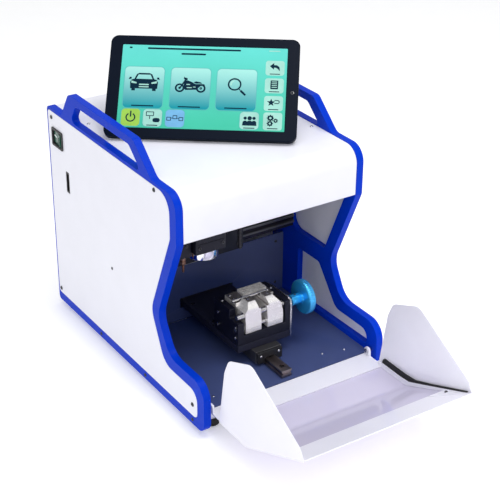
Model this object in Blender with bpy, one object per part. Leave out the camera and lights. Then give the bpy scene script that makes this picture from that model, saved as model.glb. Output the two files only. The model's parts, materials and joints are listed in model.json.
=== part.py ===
"""Key duplicating machine: a bench key cutter with a milling spindle, a two-jaw
key clamp and a fold-down safety door, modelled as separate pieces.

Metres, +Z up, front towards -Y.  Shapes are written in machine millimetres:
x = 0 on the mid plane, y = 0 at the front edge of the side frames, z = 0 at
their bottom edge.  The root empty then puts the origin on the ground, under
the middle of the machine's box with the door folded down.
"""
import math

import bmesh
import bpy
from mathutils import Matrix, Vector

# ---------------------------------------------------------- shared dimensions
MM = 0.001
GAP = 0.3                       # clearance between fitted pieces
SCREW_GAP = 0.4                 # radial clearance round most screws
CUTOUT_GAP = 0.4                # clearance round a fitting in its panel
FOOT_H = 8.0                    # rubber feet under the frames
Y_CENTRE = 104.25               # machine y of the origin
X_IN, X_OUT = 125.0, 135.0      # inner and outer face of the side frames
WIDTH = (-X_IN + GAP, X_IN - GAP)   # pieces that fill the space between frames
FRAME_TOP = 293.5               # flat top edge of the side frames
HEAD_Y, LIP_Z = 57.8, 229.5     # front of the head and its lower corner
HEAD_R = 22.0                   # upper front corner of the head
FLOOR_TOP = 23.0                # top of the working chamber's floor
CARRIAGE_X = 39.5               # half width of the clamp carriage
CARRIAGE_Z = (44.0, 54.0)       # carriage plate, bottom and top
SIDES = (("left", -1), ("right", 1))

# Axes, each as the two coordinates across it
DOOR_PIN, PIN_R = (10.0, 28.0), 2.0         # (y, z)
CLAMP_SCREW, CLAMP_SCREW_R = (81.0, 91.0), 4.0  # (y, z)
GUIDE, GUIDE_R = (81.0, 74.0), 3.0          # (y, z)
X_SCREW = (178.0, 166.0)                    # (y, z)
Y_SCREW = (0.0, 66.0)                       # (x, z)
Z_SCREW = (9.0, 145.0)                      # (x, y)
HEAD_SCREW_R = 3.0                          # x and z lead screws
SPINDLE = (-56.0, 130.0)                    # (x, y)

# Fittings: centre on the panel and half size of the body behind it
SWITCH, SWITCH_BODY = (364.0, 254.6), (13.4, 10.4)  # (y, z)
ROCKER_X = -131.5
PORT, PORT_BODY = (341.5, 200.0), (4.4, 14.9)       # (y, z)
INLET, INLET_BODY = (-90.0, 60.0), (13.6, 10.6)     # (x, z)

TABLET = (-1.2, 216.2, 347.4)               # middle of the tablet's glass
SWIVEL_Z = 297.0                            # foot of the tablet's post

# ---------------------------------------------------------------------- set-up
for ob in list(bpy.data.objects):
    bpy.data.objects.remove(ob, do_unlink=True)
SCENE = bpy.context.scene.collection


def linear(level):
    """Linear value of an 8-bit sRGB level."""
    level = level / 255.0
    return level / 12.92 if level <= 0.04045 else ((level + 0.055) / 1.055) ** 2.4


MATERIALS = {}


def material(name, rgb, roughness, metallic=0.0, transmission=0.0):
    mat = bpy.data.materials.new(name)
    mat.use_nodes = True
    inputs = mat.node_tree.nodes["Principled BSDF"].inputs
    inputs["Base Color"].default_value = (*map(linear, rgb), 1.0)
    inputs["Roughness"].default_value = roughness
    inputs["Metallic"].default_value = metallic
    inputs["Transmission Weight"].default_value = transmission
    MATERIALS[name] = mat


material("blue_paint", rgb=(18, 66, 222), roughness=0.35)
material("white_paint", rgb=(238, 238, 247), roughness=0.4)
material("navy_paint", rgb=(50, 63, 104), roughness=0.5)
material("black_anodised", rgb=(22, 22, 30), roughness=0.45, metallic=0.3)
material("bright_steel", rgb=(216, 214, 211), roughness=0.28, metallic=1.0)
material("blue_anodised", rgb=(32, 146, 214), roughness=0.3, metallic=0.9)
material("black_rubber", rgb=(16, 16, 18), roughness=0.8)
material("clear_window", rgb=(188, 186, 214), roughness=0.12, transmission=0.6)
material("tablet_shell", rgb=(24, 24, 48), roughness=0.3)
material("screen_glass", rgb=(80, 190, 172), roughness=0.12)
material("black_plastic", rgb=(24, 24, 26), roughness=0.5)
material("green_plastic", rgb=(44, 120, 92), roughness=0.35)
material("circuit_board", rgb=(26, 92, 56), roughness=0.5)
material("zinc_plate", rgb=(176, 178, 182), roughness=0.35, metallic=1.0)
material("brass", rgb=(196, 152, 84), roughness=0.3, metallic=1.0)

# Empties: name, parent, machine point.  Pieces take their parent's origin.
AXES = [
    ("machine", None, (0.0, 0.0, 0.0)),
    ("door_axis", "machine", (0.0, *DOOR_PIN)),
    ("clamp_slide", "machine", (0.0, 101.5, CARRIAGE_Z[1])),
    ("clamp_screw_axis", "clamp_slide", (0.0, *CLAMP_SCREW)),
    ("jaw_left_slide", "clamp_slide", (-15.0, 100.0, 87.0)),
    ("jaw_right_slide", "clamp_slide", (18.0, 100.0, 87.0)),
    ("head_x_slide", "machine", (-38.0, 163.0, 166.0)),
    ("head_z_slide", "head_x_slide", (-49.0, 150.0, 200.0)),
    ("spindle_axis", "head_z_slide", (*SPINDLE, 200.0)),
    ("z_screw_axis", "head_x_slide", (*Z_SCREW, 200.0)),
    ("x_screw_axis", "machine", (0.0, *X_SCREW)),
    ("y_screw_axis", "machine", (Y_SCREW[0], 280.0, Y_SCREW[1])),
    ("rocker_axis", "machine", (ROCKER_X, *SWITCH)),
    ("tablet_axis", "machine", (TABLET[0], TABLET[1], SWIVEL_Z)),
]
ORIGINS = {}
for name, parent, point in AXES:
    holder = bpy.data.objects.new(name, None)
    SCENE.objects.link(holder)
    ORIGINS[name] = Vector(point)
    if parent:
        holder.parent = bpy.data.objects[parent]
        holder.location = (ORIGINS[name] - ORIGINS[parent]) * MM
    else:
        holder.location = (0.0, -Y_CENTRE * MM, FOOT_H * MM)


# -------------------------------------------------------------------- outlines
def rounded(corners, steps=5):
    """Round a closed outline of (u, v, radius), with steps per quarter turn."""
    outline = []
    for i, (u, v, radius) in enumerate(corners):
        corner = Vector((u, v))
        if radius <= 0:
            outline.append(corner)
            continue
        back = (Vector(corners[i - 1][:2]) - corner).normalized()
        ahead = (Vector(corners[(i + 1) % len(corners)][:2]) - corner).normalized()
        angle = math.acos(max(-1.0, min(1.0, back.dot(ahead))))
        setback = radius / math.tan(angle / 2)
        centre = corner + (back + ahead).normalized() * (radius / math.sin(angle / 2))
        start = corner + back * setback - centre
        end = corner + ahead * setback - centre
        first = math.atan2(start.y, start.x)
        sweep = math.atan2(start.x * end.y - start.y * end.x, start.dot(end))
        count = max(2, round(steps * abs(sweep) / (math.pi / 2)))
        for j in range(count + 1):
            t = first + sweep * j / count
            outline.append(centre + Vector((math.cos(t), math.sin(t))) * radius)
    return outline


def rect(u0, u1, v0, v1, r=0.0, steps=3):
    return rounded([(u0, v0, r), (u1, v0, r), (u1, v1, r), (u0, v1, r)], steps)


def centred(centre, half, extra=0.0, r=0.0, steps=3):
    """Rectangle about a centre, its half size enlarged by extra."""
    (u, v), du, dv = centre, half[0] + extra, half[1] + extra
    return rect(u - du, u + du, v - dv, v + dv, r, steps)


def mirrored(half, middle=0.0):
    """Outline symmetric about u = middle, from its +u half."""
    return [(middle + u, v) for u, v in half] + [(middle - u, v) for u, v in half[::-1]]


def right_normal(start, end):
    along = (end - start).normalized()
    return Vector((along.y, -along.x))


def enlarged(outline, distance):
    """Move each point of a counter-clockwise outline outward by a distance."""
    out = []
    for i, point in enumerate(outline):
        after = outline[(i + 1) % len(outline)]
        normal = right_normal(outline[i - 1], point) + right_normal(point, after)
        out.append(point + normal.normalized() * distance)
    return out


def bent_sheet(points, thickness):
    """Closed section of a sheet: the points are one face, the other lies to
    the left of the direction of travel, with mitred bends."""
    face = [Vector(p) for p in points]
    normals = [-right_normal(a, b) for a, b in zip(face, face[1:])]
    other = [face[0] + normals[0] * thickness]
    for point, before, after in zip(face[1:], normals, normals[1:]):
        mitre = (before + after).normalized()
        other.append(point + mitre * (thickness / max(0.3, mitre.dot(after))))
    other.append(face[-1] + normals[-1] * thickness)
    return face + other[::-1]


def on_side(side, near, far):
    """Span in x between two distances from the mid plane, on side -1 or 1."""
    return sorted((side * near, side * far))


# ---------------------------------------------------------------------- solids
def in_space(pair, axis, depth):
    """3D point from the two coordinates across an axis, in x, y, z order."""
    point = list(pair)
    point.insert("xyz".index(axis), depth)
    return point


def placed(bm, matrix):
    bmesh.ops.transform(bm, matrix=matrix, verts=bm.verts)
    bmesh.ops.recalc_face_normals(bm, faces=bm.faces)
    return bm


def prism_bm(outline, axis, span):
    """Extrude a closed outline over a span of an axis."""
    bm = bmesh.new()
    face = bm.faces.new([bm.verts.new(in_space(p, axis, span[0])) for p in outline])
    made = bmesh.ops.extrude_face_region(bm, geom=[face])["geom"]
    bmesh.ops.translate(bm, vec=in_space((0.0, 0.0), axis, span[1] - span[0]),
                        verts=[g for g in made if isinstance(g, bmesh.types.BMVert)])
    bmesh.ops.recalc_face_normals(bm, faces=bm.faces)
    return bm


TURN_TO = {"x": Matrix.Rotation(math.radians(90), 4, "Y"),
           "y": Matrix.Rotation(math.radians(-90), 4, "X"),
           "z": Matrix.Identity(4)}


def turned_bm(profile, axis, centre, steps):
    """Spin a closed (radius, distance along axis) profile about an axis."""
    bm = bmesh.new()
    verts = [bm.verts.new((r, 0.0, t)) for r, t in profile]
    edges = [bm.edges.new((a, b)) for a, b in zip(verts, verts[1:] + verts[:1])
             if not (a.co.x == 0 and b.co.x == 0)]
    bmesh.ops.spin(bm, geom=verts + edges, cent=(0, 0, 0), axis=(0, 0, 1),
                   dvec=(0, 0, 0), angle=2 * math.pi, steps=steps, use_merge=True)
    bmesh.ops.remove_doubles(bm, verts=bm.verts, dist=1e-4)
    bmesh.ops.dissolve_degenerate(bm, dist=1e-5, edges=bm.edges)
    return placed(bm, Matrix.Translation(in_space(centre, axis, 0.0)) @ TURN_TO[axis])


def cylinder_bm(radius, axis, centre, span, steps):
    lo, hi = span
    return turned_bm([(0, lo), (radius, lo), (radius, hi), (0, hi)], axis, centre, steps)


def to_origin(mesh, origin):
    """Turn machine millimetres into metres about an empty's point."""
    mesh.transform(Matrix.Scale(MM, 4) @ Matrix.Translation(-ORIGINS[origin]))


def finish(name, mat, bm, at="machine", smooth=False):
    """Make a piece from a bmesh in machine millimetres."""
    bmesh.ops.remove_doubles(bm, verts=bm.verts, dist=1e-4)
    bmesh.ops.recalc_face_normals(bm, faces=bm.faces)
    mesh = bpy.data.meshes.new(name)
    bm.to_mesh(mesh)
    bm.free()
    to_origin(mesh, at)
    piece = bpy.data.objects.new(name, mesh)
    SCENE.objects.link(piece)
    piece.parent = bpy.data.objects[at]
    mesh.materials.append(MATERIALS[mat])
    if smooth:
        mesh.shade_smooth()
        mesh.set_sharp_from_angle(angle=math.radians(35))
    return piece


def prism(name, mat, outline, axis, span, at="machine", smooth=False):
    return finish(name, mat, prism_bm(outline, axis, span), at, smooth)


def box(name, mat, x, y, z, at="machine", r=0.0, axis="z"):
    """Box over three spans; the edges along the axis are rounded by r."""
    spans = {"x": x, "y": y, "z": z}
    length = spans.pop(axis)
    across, up = spans.values()
    return prism(name, mat, rect(*across, *up, r), axis, length, at)


def turned(name, mat, profile, axis, centre, at="machine", steps=32):
    return finish(name, mat, turned_bm(profile, axis, centre, steps), at, True)


def rod(name, radius, axis, centre, span, at="machine", steps=16, bevel=0.5):
    """Bright steel rod with bevelled ends."""
    lo, hi = span
    profile = [(0, lo), (radius - bevel, lo), (radius, lo + bevel),
               (radius, hi - bevel), (radius - bevel, hi), (0, hi)]
    return turned(name, "bright_steel", profile, axis, centre, at, steps)


def boolean(piece, bm, operation):
    """Cut a bmesh in machine millimetres from a piece, or join it on."""
    tool_mesh = bpy.data.meshes.new("tool")
    bm.to_mesh(tool_mesh)
    bm.free()
    to_origin(tool_mesh, piece.parent.name)
    tool = bpy.data.objects.new("tool", tool_mesh)
    SCENE.objects.link(tool)
    tool.parent = piece.parent
    modifier = piece.modifiers.new("cut", "BOOLEAN")
    modifier.solver = "EXACT"
    modifier.operation = operation
    modifier.object = tool
    bpy.context.view_layer.update()
    graph = bpy.context.evaluated_depsgraph_get()
    result = bpy.data.meshes.new_from_object(piece.evaluated_get(graph))
    piece.modifiers.clear()
    before = piece.data
    piece.data = result
    result.name = piece.name
    bpy.data.meshes.remove(before)
    bpy.data.objects.remove(tool, do_unlink=True)
    bpy.data.meshes.remove(tool_mesh)


def cut(piece, outline, axis, span):
    boolean(piece, prism_bm(outline, axis, span), "DIFFERENCE")


def join(piece, outline, axis, span):
    boolean(piece, prism_bm(outline, axis, span), "UNION")


def drill(piece, radius, axis, centre, span, steps=24):
    boolean(piece, cylinder_bm(radius, axis, centre, span, steps), "DIFFERENCE")


# ------------------------------------------------- side frames and side panels
FRAME_DEPTH = 393.0     # front to back
HANDLE_TOP = 330.2      # top of the carrying handles
PANEL_T = 1.2           # side panel sheet
RECESS = 1.5            # depth of the recess that holds a side panel

# Corners as (y, z, radius)
FRAME = [
    (0, 0, 13), (FRAME_DEPTH, 0, 6), (FRAME_DEPTH, FRAME_TOP, 7), (349.5, FRAME_TOP, 5),
    (325.5, HANDLE_TOP, 12), (154.5, HANDLE_TOP, 12), (113.7, FRAME_TOP, 14),
    (HEAD_Y, FRAME_TOP, HEAD_R), (HEAD_Y, LIP_Z, 12), (107.0, 114.8, 30),
    (80.5, 67.6, 30), (0, 67.5, 24)]
HANDLE_HOLE = [(137.5, 293.8, 4), (322.0, 293.8, 6), (306.0, 319.4, 8), (166.5, 319.4, 8)]
UPPER_OPENING = [(197.0, 127.0, 18), (197.0, 279.0, 8), (76.0, 279.0, 14),
                 (74.5, 233.0, 12), (119.5, 127.0, 8)]
LOWER_OPENING = [(178.0, 28.0, 3), (178.0, 102.3, 4), (130.0, 102.3, 8),
                 (89.5, 50.8, 18), (21.0, 50.5, 12), (21.0, 31.0, 5)]
REAR_OPENING = [(240.0, 28.0, 8), (379.0, 28.0, 8), (379.0, 279.0, 8), (240.0, 279.0, 8)]
PANEL = [(16.0, 12.8, 8), (390.4, 12.8, 5), (390.4, 288.6, 5), (72.8, 288.6, 24),
         (72.8, 233.5, 12), (123.0, 116.0, 28), (93.0, 51.5, 26), (16.0, 50.8, 16)]

for hand, side in SIDES:
    frame = prism(f"{hand}_frame", "blue_paint", rounded(FRAME, 6), "x",
                  on_side(side, X_IN, X_OUT), smooth=True)
    for opening in (HANDLE_HOLE, UPPER_OPENING, LOWER_OPENING, REAR_OPENING):
        cut(frame, rounded(opening, 4), "x", on_side(side, X_IN - 5, X_OUT + 5))
    cut(frame, enlarged(rounded(PANEL), GAP), "x", on_side(side, X_OUT - RECESS, X_OUT + 5))
    drill(frame, PIN_R + GAP, "x", DOOR_PIN, on_side(side, 120, 131.6))

    panel = prism(f"{hand}_side_panel", "white_paint", rounded(PANEL), "x",
                  on_side(side, X_OUT - PANEL_T, X_OUT))
    if hand == "left":
        cut(panel, centred(SWITCH, SWITCH_BODY, CUTOUT_GAP), "x", (-140, -130))
        cut(panel, centred(PORT, PORT_BODY, CUTOUT_GAP, r=1.5), "x", (-140, -130))

# ------------------------------------------- hood, rear, base, feet and chamber
HOOD_T = 1.5
HOOD_TOP = 292.9
HOOD_FRONT = HEAD_Y + 0.5
BASE_Z = (2.5, 5.0)
WALL_Y, WALL_T = 213.0, 2.0     # front face and thickness of the chamber back wall

# Outer face, from the rear over the rounded front corner to the lip
hood = [(386.5, HOOD_TOP)]
for i in range(8):
    t = math.radians(90 + 90 * i / 7)
    hood.append((HOOD_FRONT + HEAD_R + HEAD_R * math.cos(t),
                 HOOD_TOP - HEAD_R + HEAD_R * math.sin(t)))
hood += [(HOOD_FRONT, LIP_Z), (HEAD_Y + 11.5, LIP_Z)]
prism("top_hood", "white_paint", bent_sheet(hood, HOOD_T), "x", WIDTH)

# Rear panel with the inlet cutout and six vent slots
rear = box("rear_panel", "white_paint", WIDTH, (387.2, 388.7), (5.5, 292.0), axis="y")
cut(rear, centred(INLET, INLET_BODY, CUTOUT_GAP), "y", (380, 395))
for k in range(6):
    cut(rear, rect(20, 90, 200 + 11 * k, 205 + 11 * k), "y", (380, 395))

# Base plate with a flange along its front edge
base = box("base_plate", "white_paint", WIDTH, (20.0, 386.5), BASE_Z)
join(base, rect(20.0, 22.0, BASE_Z[0], 18.0), "x", WIDTH)

FOOT_TOP = BASE_Z[0] - GAP
FOOT = [(0, -FOOT_H), (8.5, -FOOT_H), (10, -FOOT_H + 1.5), (11, FOOT_TOP), (0, FOOT_TOP)]
for row, y in (("front", 27), ("rear", 366)):
    for hand, side in SIDES:
        turned(f"foot_{row}_{hand}", "black_rubber", FOOT, "z", (side * 108, y), steps=24)

# Chamber floor with a tongue to the rear that carries the y rail
floor = box("chamber_floor", "navy_paint", WIDTH, (16.0, WALL_Y - GAP), (21.0, FLOOR_TOP))
join(floor, rect(-30, 30, 200, 312), "z", (21.0, FLOOR_TOP))

# Back wall, open for the carriage plate and for the rail and its block
wall = box("chamber_back_wall", "navy_paint", WIDTH, (WALL_Y, WALL_Y + WALL_T),
           (FLOOR_TOP + GAP, 111.5), axis="y")
cut(wall, rect(-41.5, 41.5, 41.5, 56.5), "y", (205, 225))
cut(wall, rect(-22, 22, 10, 48), "y", (205, 225))

# ------------------------------------------------------------- fold-down door
DOOR = "door_axis"
CHEEK_X = 120.2         # inner face of the door cheeks
DOOR_X = CHEEK_X - GAP  # half width of the door panel
SHEET = 1.2             # door sheet
DOOR_Z = 22.2           # upper face of the level part
BEND_Y = -71.0          # where the door starts to slope up towards the front
EDGE_Y, EDGE_Z = -184.0, 72.3   # front edge
RISE = (EDGE_Z - DOOR_Z) / (BEND_Y - EDGE_Y)
WINDOW_Z = DOOR_Z - SHEET - GAP
WINDOW_BEND, WINDOW_END = -71.3, -150.0


def above_slope(y, height):
    """(y, z) at a height above the sloping part's upper face."""
    return (y, DOOR_Z + height + (BEND_Y - y) * RISE)


# Sections and outlines as (y, z), with a radius where corners are rounded
DOOR_FACE = [(14.5, DOOR_Z), (BEND_Y, DOOR_Z), (EDGE_Y, EDGE_Z)]
DOOR_OPENING = [(-22.0, 10.0), (-22.0, 60.0), (-140.0, 90.0), (-140.0, 30.0), (-80.0, 10.0)]
HINGE_EAR = [(4.0, 21.4, 0), (14.5, 21.4, 0), (15.0, 33.5, 4.5), (5.0, 33.5, 4.5)]
WINDOW_FACE = [(-16.0, WINDOW_Z), (WINDOW_BEND, WINDOW_Z),
               (WINDOW_END, WINDOW_Z + (WINDOW_BEND - WINDOW_END) * RISE)]
CHEEK = [(-12.0, 20.4, 1.5), (-24.0, 98.0, 14), (-33.0, 118.5, 14), (-80.0, 138.0, 15),
         (-176.6, 84.5, 3), (-184.6, 72.5, 1.0), (-184.2, 70.4, 0.5), (-71.0, 20.0, 12)]
SEAL = [(-20.0, 22.6), (-71.2, 22.6), above_slope(-178.0, 0.4), above_slope(-178.0, 2.2),
        above_slope(-112.0, 5.0), above_slope(-86.0, 7.0), (-66.0, 34.0), (-24.0, 34.5)]

door = prism("door_panel", "white_paint", bent_sheet(DOOR_FACE, SHEET), "x",
             (-DOOR_X, DOOR_X), DOOR)
cut(door, DOOR_OPENING, "x", (-116.0, 116.0))
for hand, side in SIDES:
    join(door, rounded(HINGE_EAR, 4), "x", on_side(side, 117.4, DOOR_X))
drill(door, PIN_R + GAP, "x", DOOR_PIN, (-130, 130))

prism("door_window", "clear_window", bent_sheet(WINDOW_FACE, 2.0), "x", (-119.0, 119.0), DOOR)

for hand, side in SIDES:
    prism(f"door_cheek_{hand}", "white_paint", rounded(CHEEK), "x",
          on_side(side, CHEEK_X, CHEEK_X + SHEET), DOOR)
    prism(f"door_seal_{hand}", "black_rubber", SEAL, "x", on_side(side, 117.6, DOOR_X), DOOR)
    rod(f"hinge_pin_{hand}", PIN_R, "x", DOOR_PIN, on_side(side, 115.8, 131.2),
        steps=20, bevel=0.4)

# --------------------------------------------------- clamp carriage on its rail
CLAMP = "clamp_slide"
BODY_Y = (73.0, 131.0)          # clamp body, front and rear
PLATE_X = CARRIAGE_X + GAP      # inner face of the end plate
CLAMP_WIDTH = (-CARRIAGE_X, CARRIAGE_X)

# Right halves of symmetric sections, as (x, z)
RAIL_HALF = [(7.5, FLOOR_TOP + GAP), (7.5, 27.0), (6.0, 28.2), (6.0, 30.0), (7.5, 31.2),
             (7.5, 33.5)]
SLOT_HALF = [(7.9, 20), (7.9, 27.2), (6.4, 28.4), (6.4, 29.8), (7.9, 31.0), (7.9, 34.0)]

# Rail with five counterbores in its top
y_rail = prism("y_rail", "bright_steel", mirrored(RAIL_HALF), "y", (21.5, 308.0))
for k in range(5):
    drill(y_rail, 3.6, "z", (0, 51.0 + 55.0 * k), (29.5, 40), 20)

y_block = box("y_bearing_block", "bright_steel", (-19.5, 19.5), (59.0, 118.0),
              (27.0, CARRIAGE_Z[0] - GAP), CLAMP, r=1.0, axis="y")
cut(y_block, mirrored(SLOT_HALF), "y", (50, 130))

# Carriage plate, with an upright at its rear end for the y lead screw
carriage = box("carriage_plate", "black_anodised", CLAMP_WIDTH, (BODY_Y[0], 250.0),
               CARRIAGE_Z, CLAMP)
join(carriage, rect(-12, 12, 240, 250), "z", (50.0, 78.0))
drill(carriage, 4.5, "y", Y_SCREW, (230, 260))

# Clamp body: pocket for the jaws, notch in the left wall, holes for the rods
body = box("clamp_body", "black_anodised", CLAMP_WIDTH, BODY_Y,
           (CARRIAGE_Z[1] + GAP, 98.0), CLAMP)
cut(body, rect(-30.5, 31.8, 67.0, 120.0), "y", (60, 140))
cut(body, rounded([(60, 85.5, 0), (93, 85.5, 2), (93, 110, 0), (60, 110, 0)], 3), "x", (-60, -25))
drill(body, GUIDE_R + GAP, "x", GUIDE, (-60, 60), 16)
drill(body, CLAMP_SCREW_R + SCREW_GAP, "x", CLAMP_SCREW, (20, 60), 20)

END_PLATE = [(BODY_Y[0], CARRIAGE_Z[0], 0), (BODY_Y[1], CARRIAGE_Z[0], 0),
             (BODY_Y[1], 97.0, 6), (BODY_Y[0], 100.0, 11)]   # (y, z, radius)
end_plate = prism("clamp_end_plate", "bright_steel", rounded(END_PLATE), "x",
                  (PLATE_X, 42.6), CLAMP)
drill(end_plate, CLAMP_SCREW_R + SCREW_GAP, "x", CLAMP_SCREW, (30, 60), 20)

rod("guide_rod", GUIDE_R, "x", GUIDE, (-39.0, 39.2), CLAMP)
rod("key_stop_bar", 1.9, "x", (101.5, 103.4), (-30.5, 24.0), CLAMP)

# Jaws: one (y, z) section, with a ledge along each facing edge
JAW = [(74.4, 67.5), (124.5, 67.5), (124.5, 101.0), (97.8, 101.0), (97.8, 106.2),
       (85.5, 106.2), (76.8, 100.5), (74.4, 81.5)]
LEDGE = rect(66, 130, 98.2, 112)
BEVEL_Y = (60.0, 97.8)          # reach of the bevels on the outer upper edges
# Bevel cutters, as (x, z)
LEFT_BEVEL = [(-29.0, 93.7), (-17.0, 106.5), (-17.0, 112.0), (-29.0, 112.0)]
RIGHT_BEVEL = [(29.9, 84.0), (27.2, 97.0), (19.5, 106.5), (19.5, 112.0), (34.0, 112.0),
               (34.0, 84.0)]

jaw_left = prism("jaw_left", "bright_steel", JAW, "x", (-27.0, -3.5), "jaw_left_slide")
cut(jaw_left, LEDGE, "x", (-6.5, 0.0))
cut(jaw_left, LEFT_BEVEL, "y", BEVEL_Y)

# The right jaw also carries a block with a tongue reaching over the left jaw
jaw_right = prism("jaw_right", "bright_steel", JAW, "x", (6.0, 29.5), "jaw_right_slide")
cut(jaw_right, LEDGE, "x", (0.0, 9.0))
cut(jaw_right, RIGHT_BEVEL, "y", BEVEL_Y)
join(jaw_right, rect(9.5, 25.0, 106.5, 121.0), "z", (99.0, 105.8))
join(jaw_right, rect(-11.0, 25.0, 106.5, 121.0), "z", (101.6, 105.8))
for jaw in (jaw_left, jaw_right):
    drill(jaw, CLAMP_SCREW_R + SCREW_GAP, "x", CLAMP_SCREW, (-60, 60), 20)
    drill(jaw, GUIDE_R + GAP, "x", GUIDE, (-60, 60), 16)

rod("clamp_screw", CLAMP_SCREW_R, "x", CLAMP_SCREW, (-37.0, 60.5), "clamp_screw_axis", 20)
# (radius, x)
KNOB = [(4.3, 45.0), (7.2, 45.0), (7.2, 60.0), (12.0, 61.0), (21.4, 61.0), (23.0, 62.6),
        (23.0, 68.6), (21.4, 70.2), (0, 70.2), (0, 60.8), (4.3, 60.8)]
turned("clamp_knob", "blue_anodised", KNOB, "x", CLAMP_SCREW, "clamp_screw_axis", 40)

# --------------------------------------------------- y drive behind the chamber
Y_MOTOR_Y = (337.0, 373.0)
Y_BRACKET_BACK = Y_MOTOR_Y[0] - GAP

prism("y_motor", "black_plastic", centred(Y_SCREW, (21, 21), r=4.0), "y", Y_MOTOR_Y)
# Motor bracket standing on the base plate
join(base, rect(-26, 26, 333.4, Y_BRACKET_BACK), "z", (BASE_Z[0], 90.0))
drill(base, 6.0, "y", Y_SCREW, (320, 340))
rod("y_lead_screw", 4.0, "y", Y_SCREW, (222.0, Y_BRACKET_BACK), "y_screw_axis")

# ------------------------------------------------ x gantry and its moving head
HEAD_X = "head_x_slide"
BEAM_Y = 190.0                  # front face of the beam
RAIL_BACK = BEAM_Y - GAP
X_MOTOR_END = -97.0
X_PLATE_Y = (160.0, 166.0)      # x slide plate, front and back
MOTOR_SHELF_Z = (248.0, 251.0)
Z_RAIL_X = -49.0
SCREW_HOLE_R = HEAD_SCREW_R + SCREW_GAP

box("x_beam", "black_anodised", WIDTH, (BEAM_Y, 208.0), (131.0, 180.0), axis="x")
X_RAIL = [(RAIL_BACK, 139.0), (RAIL_BACK, 151.0), (184.0, 151.0), (184.0, 148.4),
          (186.2, 146.6), (186.2, 143.4), (184.0, 141.6), (184.0, 139.0)]    # (y, z)
prism("x_rail", "bright_steel", X_RAIL, "x", (-92.0, 122.0))
box("x_motor", "black_plastic", (-124.4, X_MOTOR_END), (168.2, 189.5), (155.5, 176.5),
    axis="x", r=2.0)
rod("x_lead_screw", HEAD_SCREW_R, "x", X_SCREW, (X_MOTOR_END + GAP, 121.0), "x_screw_axis")

x_block = box("x_bearing_block", "zinc_plate", (-62, -14), (X_PLATE_Y[1] + GAP, 188.6),
              (134.5, 173.0), HEAD_X)
cut(x_block, rect(183.6, 200, 138.6, 151.4), "x", (-80, 0))
drill(x_block, SCREW_HOLE_R, "x", X_SCREW, (-80, 0), 16)

# Slide plate with a shelf for the z motor
x_plate = box("x_slide_plate", "black_anodised", (-100, 24), X_PLATE_Y, (139.0, 283.0),
              HEAD_X, axis="y", r=2.0)
join(x_plate, rect(-6, 24, 130.0, 161.0), "z", MOTOR_SHELF_Z)
drill(x_plate, 4.0, "z", Z_SCREW, (240, 260), 16)

Z_RAIL_BACK = X_PLATE_Y[0] - GAP
# Half section as (x from the rail's middle, y)
Z_RAIL_HALF = [(3.8, 156.6), (5.0, 155.0), (7.0, 155.0), (7.0, Z_RAIL_BACK)]
prism("z_rail", "bright_steel", mirrored(Z_RAIL_HALF, Z_RAIL_X), "z", (146.0, 246.0), HEAD_X)
box("z_motor", "black_plastic", (-5, 23), (131.0, 159.5), (MOTOR_SHELF_Z[1] + GAP, 281.0),
    HEAD_X, r=2.5)
rod("z_lead_screw", HEAD_SCREW_R, "z", Z_SCREW, (149.0, 251.0), "z_screw_axis")

HEAD_Z = "head_z_slide"
BORE_R = 9.5                    # spindle housing and nose

# Head plate: rail slot, lug for the z lead screw, arm for the tracer
head = box("head_plate", "black_anodised", (-97, -8), (146.0, 158.5), (179.0, 244.0),
           HEAD_Z, axis="y", r=2.0)
cut(head, rect(Z_RAIL_X - 7.4, Z_RAIL_X + 7.4, 154.6, 170), "z", (170, 250))
join(head, rect(-14, 17, 138.0, 152.0), "z", (202.0, 214.0))
join(head, rect(-96, -78.6, 118.0, 150.0, 1.5), "z", (174.0, 206.0))
drill(head, SCREW_HOLE_R, "z", Z_SCREW, (190, 220), 16)

housing = box("spindle_housing", "black_anodised", (-78, -33.5), (109.0, 145.7),
              (178.5, 232.0), HEAD_Z, r=3.0)
drill(housing, BORE_R, "z", SPINDLE, (160, 240))

# Turned pieces of the head, as (radius, z)
NOSE = [(BORE_R, 164.5), (17.0, 164.5), (20.0, 167.0), (20.0, 178.2), (BORE_R, 178.2)]
MOTOR = [(0, 232.3), (15.2, 232.3), (15.2, 273.0), (13.5, 275.0), (0, 275.0)]
TRACER = [(0, 150.0), (0.9, 150.0), (1.6, 152.0), (1.6, 160.0), (3.6, 162.0), (3.6, 173.7),
          (0, 173.7)]
SHAFT = [(0, 163.2), (5.0, 163.2), (5.0, 164.6), (9.0, 166.5), (9.0, 231.8), (0, 231.8)]
CUTTER = [(0, 158.4), (1.6, 158.4), (1.6, 160.6), (4.5, 161.4), (4.5, 162.9), (0, 162.9)]
turned("spindle_nose", "bright_steel", NOSE, "z", SPINDLE, HEAD_Z, 40)
turned("spindle_motor", "black_plastic", MOTOR, "z", SPINDLE, HEAD_Z)
turned("tracer_probe", "brass", TRACER, "z", (-86.0, 127.0), HEAD_Z, 16)
turned("spindle_shaft", "bright_steel", SHAFT, "z", SPINDLE, "spindle_axis", 24)
turned("cutter", "zinc_plate", CUTTER, "z", SPINDLE, "spindle_axis", 24)

# --------------------------------------------------------- switch, port, power
bezel = prism("switch_bezel", "black_plastic", centred(SWITCH, (15.3, 12.8), r=1.5), "x",
              (-136.8, -135.3))
join(bezel, centred(SWITCH, SWITCH_BODY), "x", (-136.0, -118.0))
cut(bezel, centred(SWITCH, (12.2, 9.2)), "x", (-140.0, -124.0))

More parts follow.
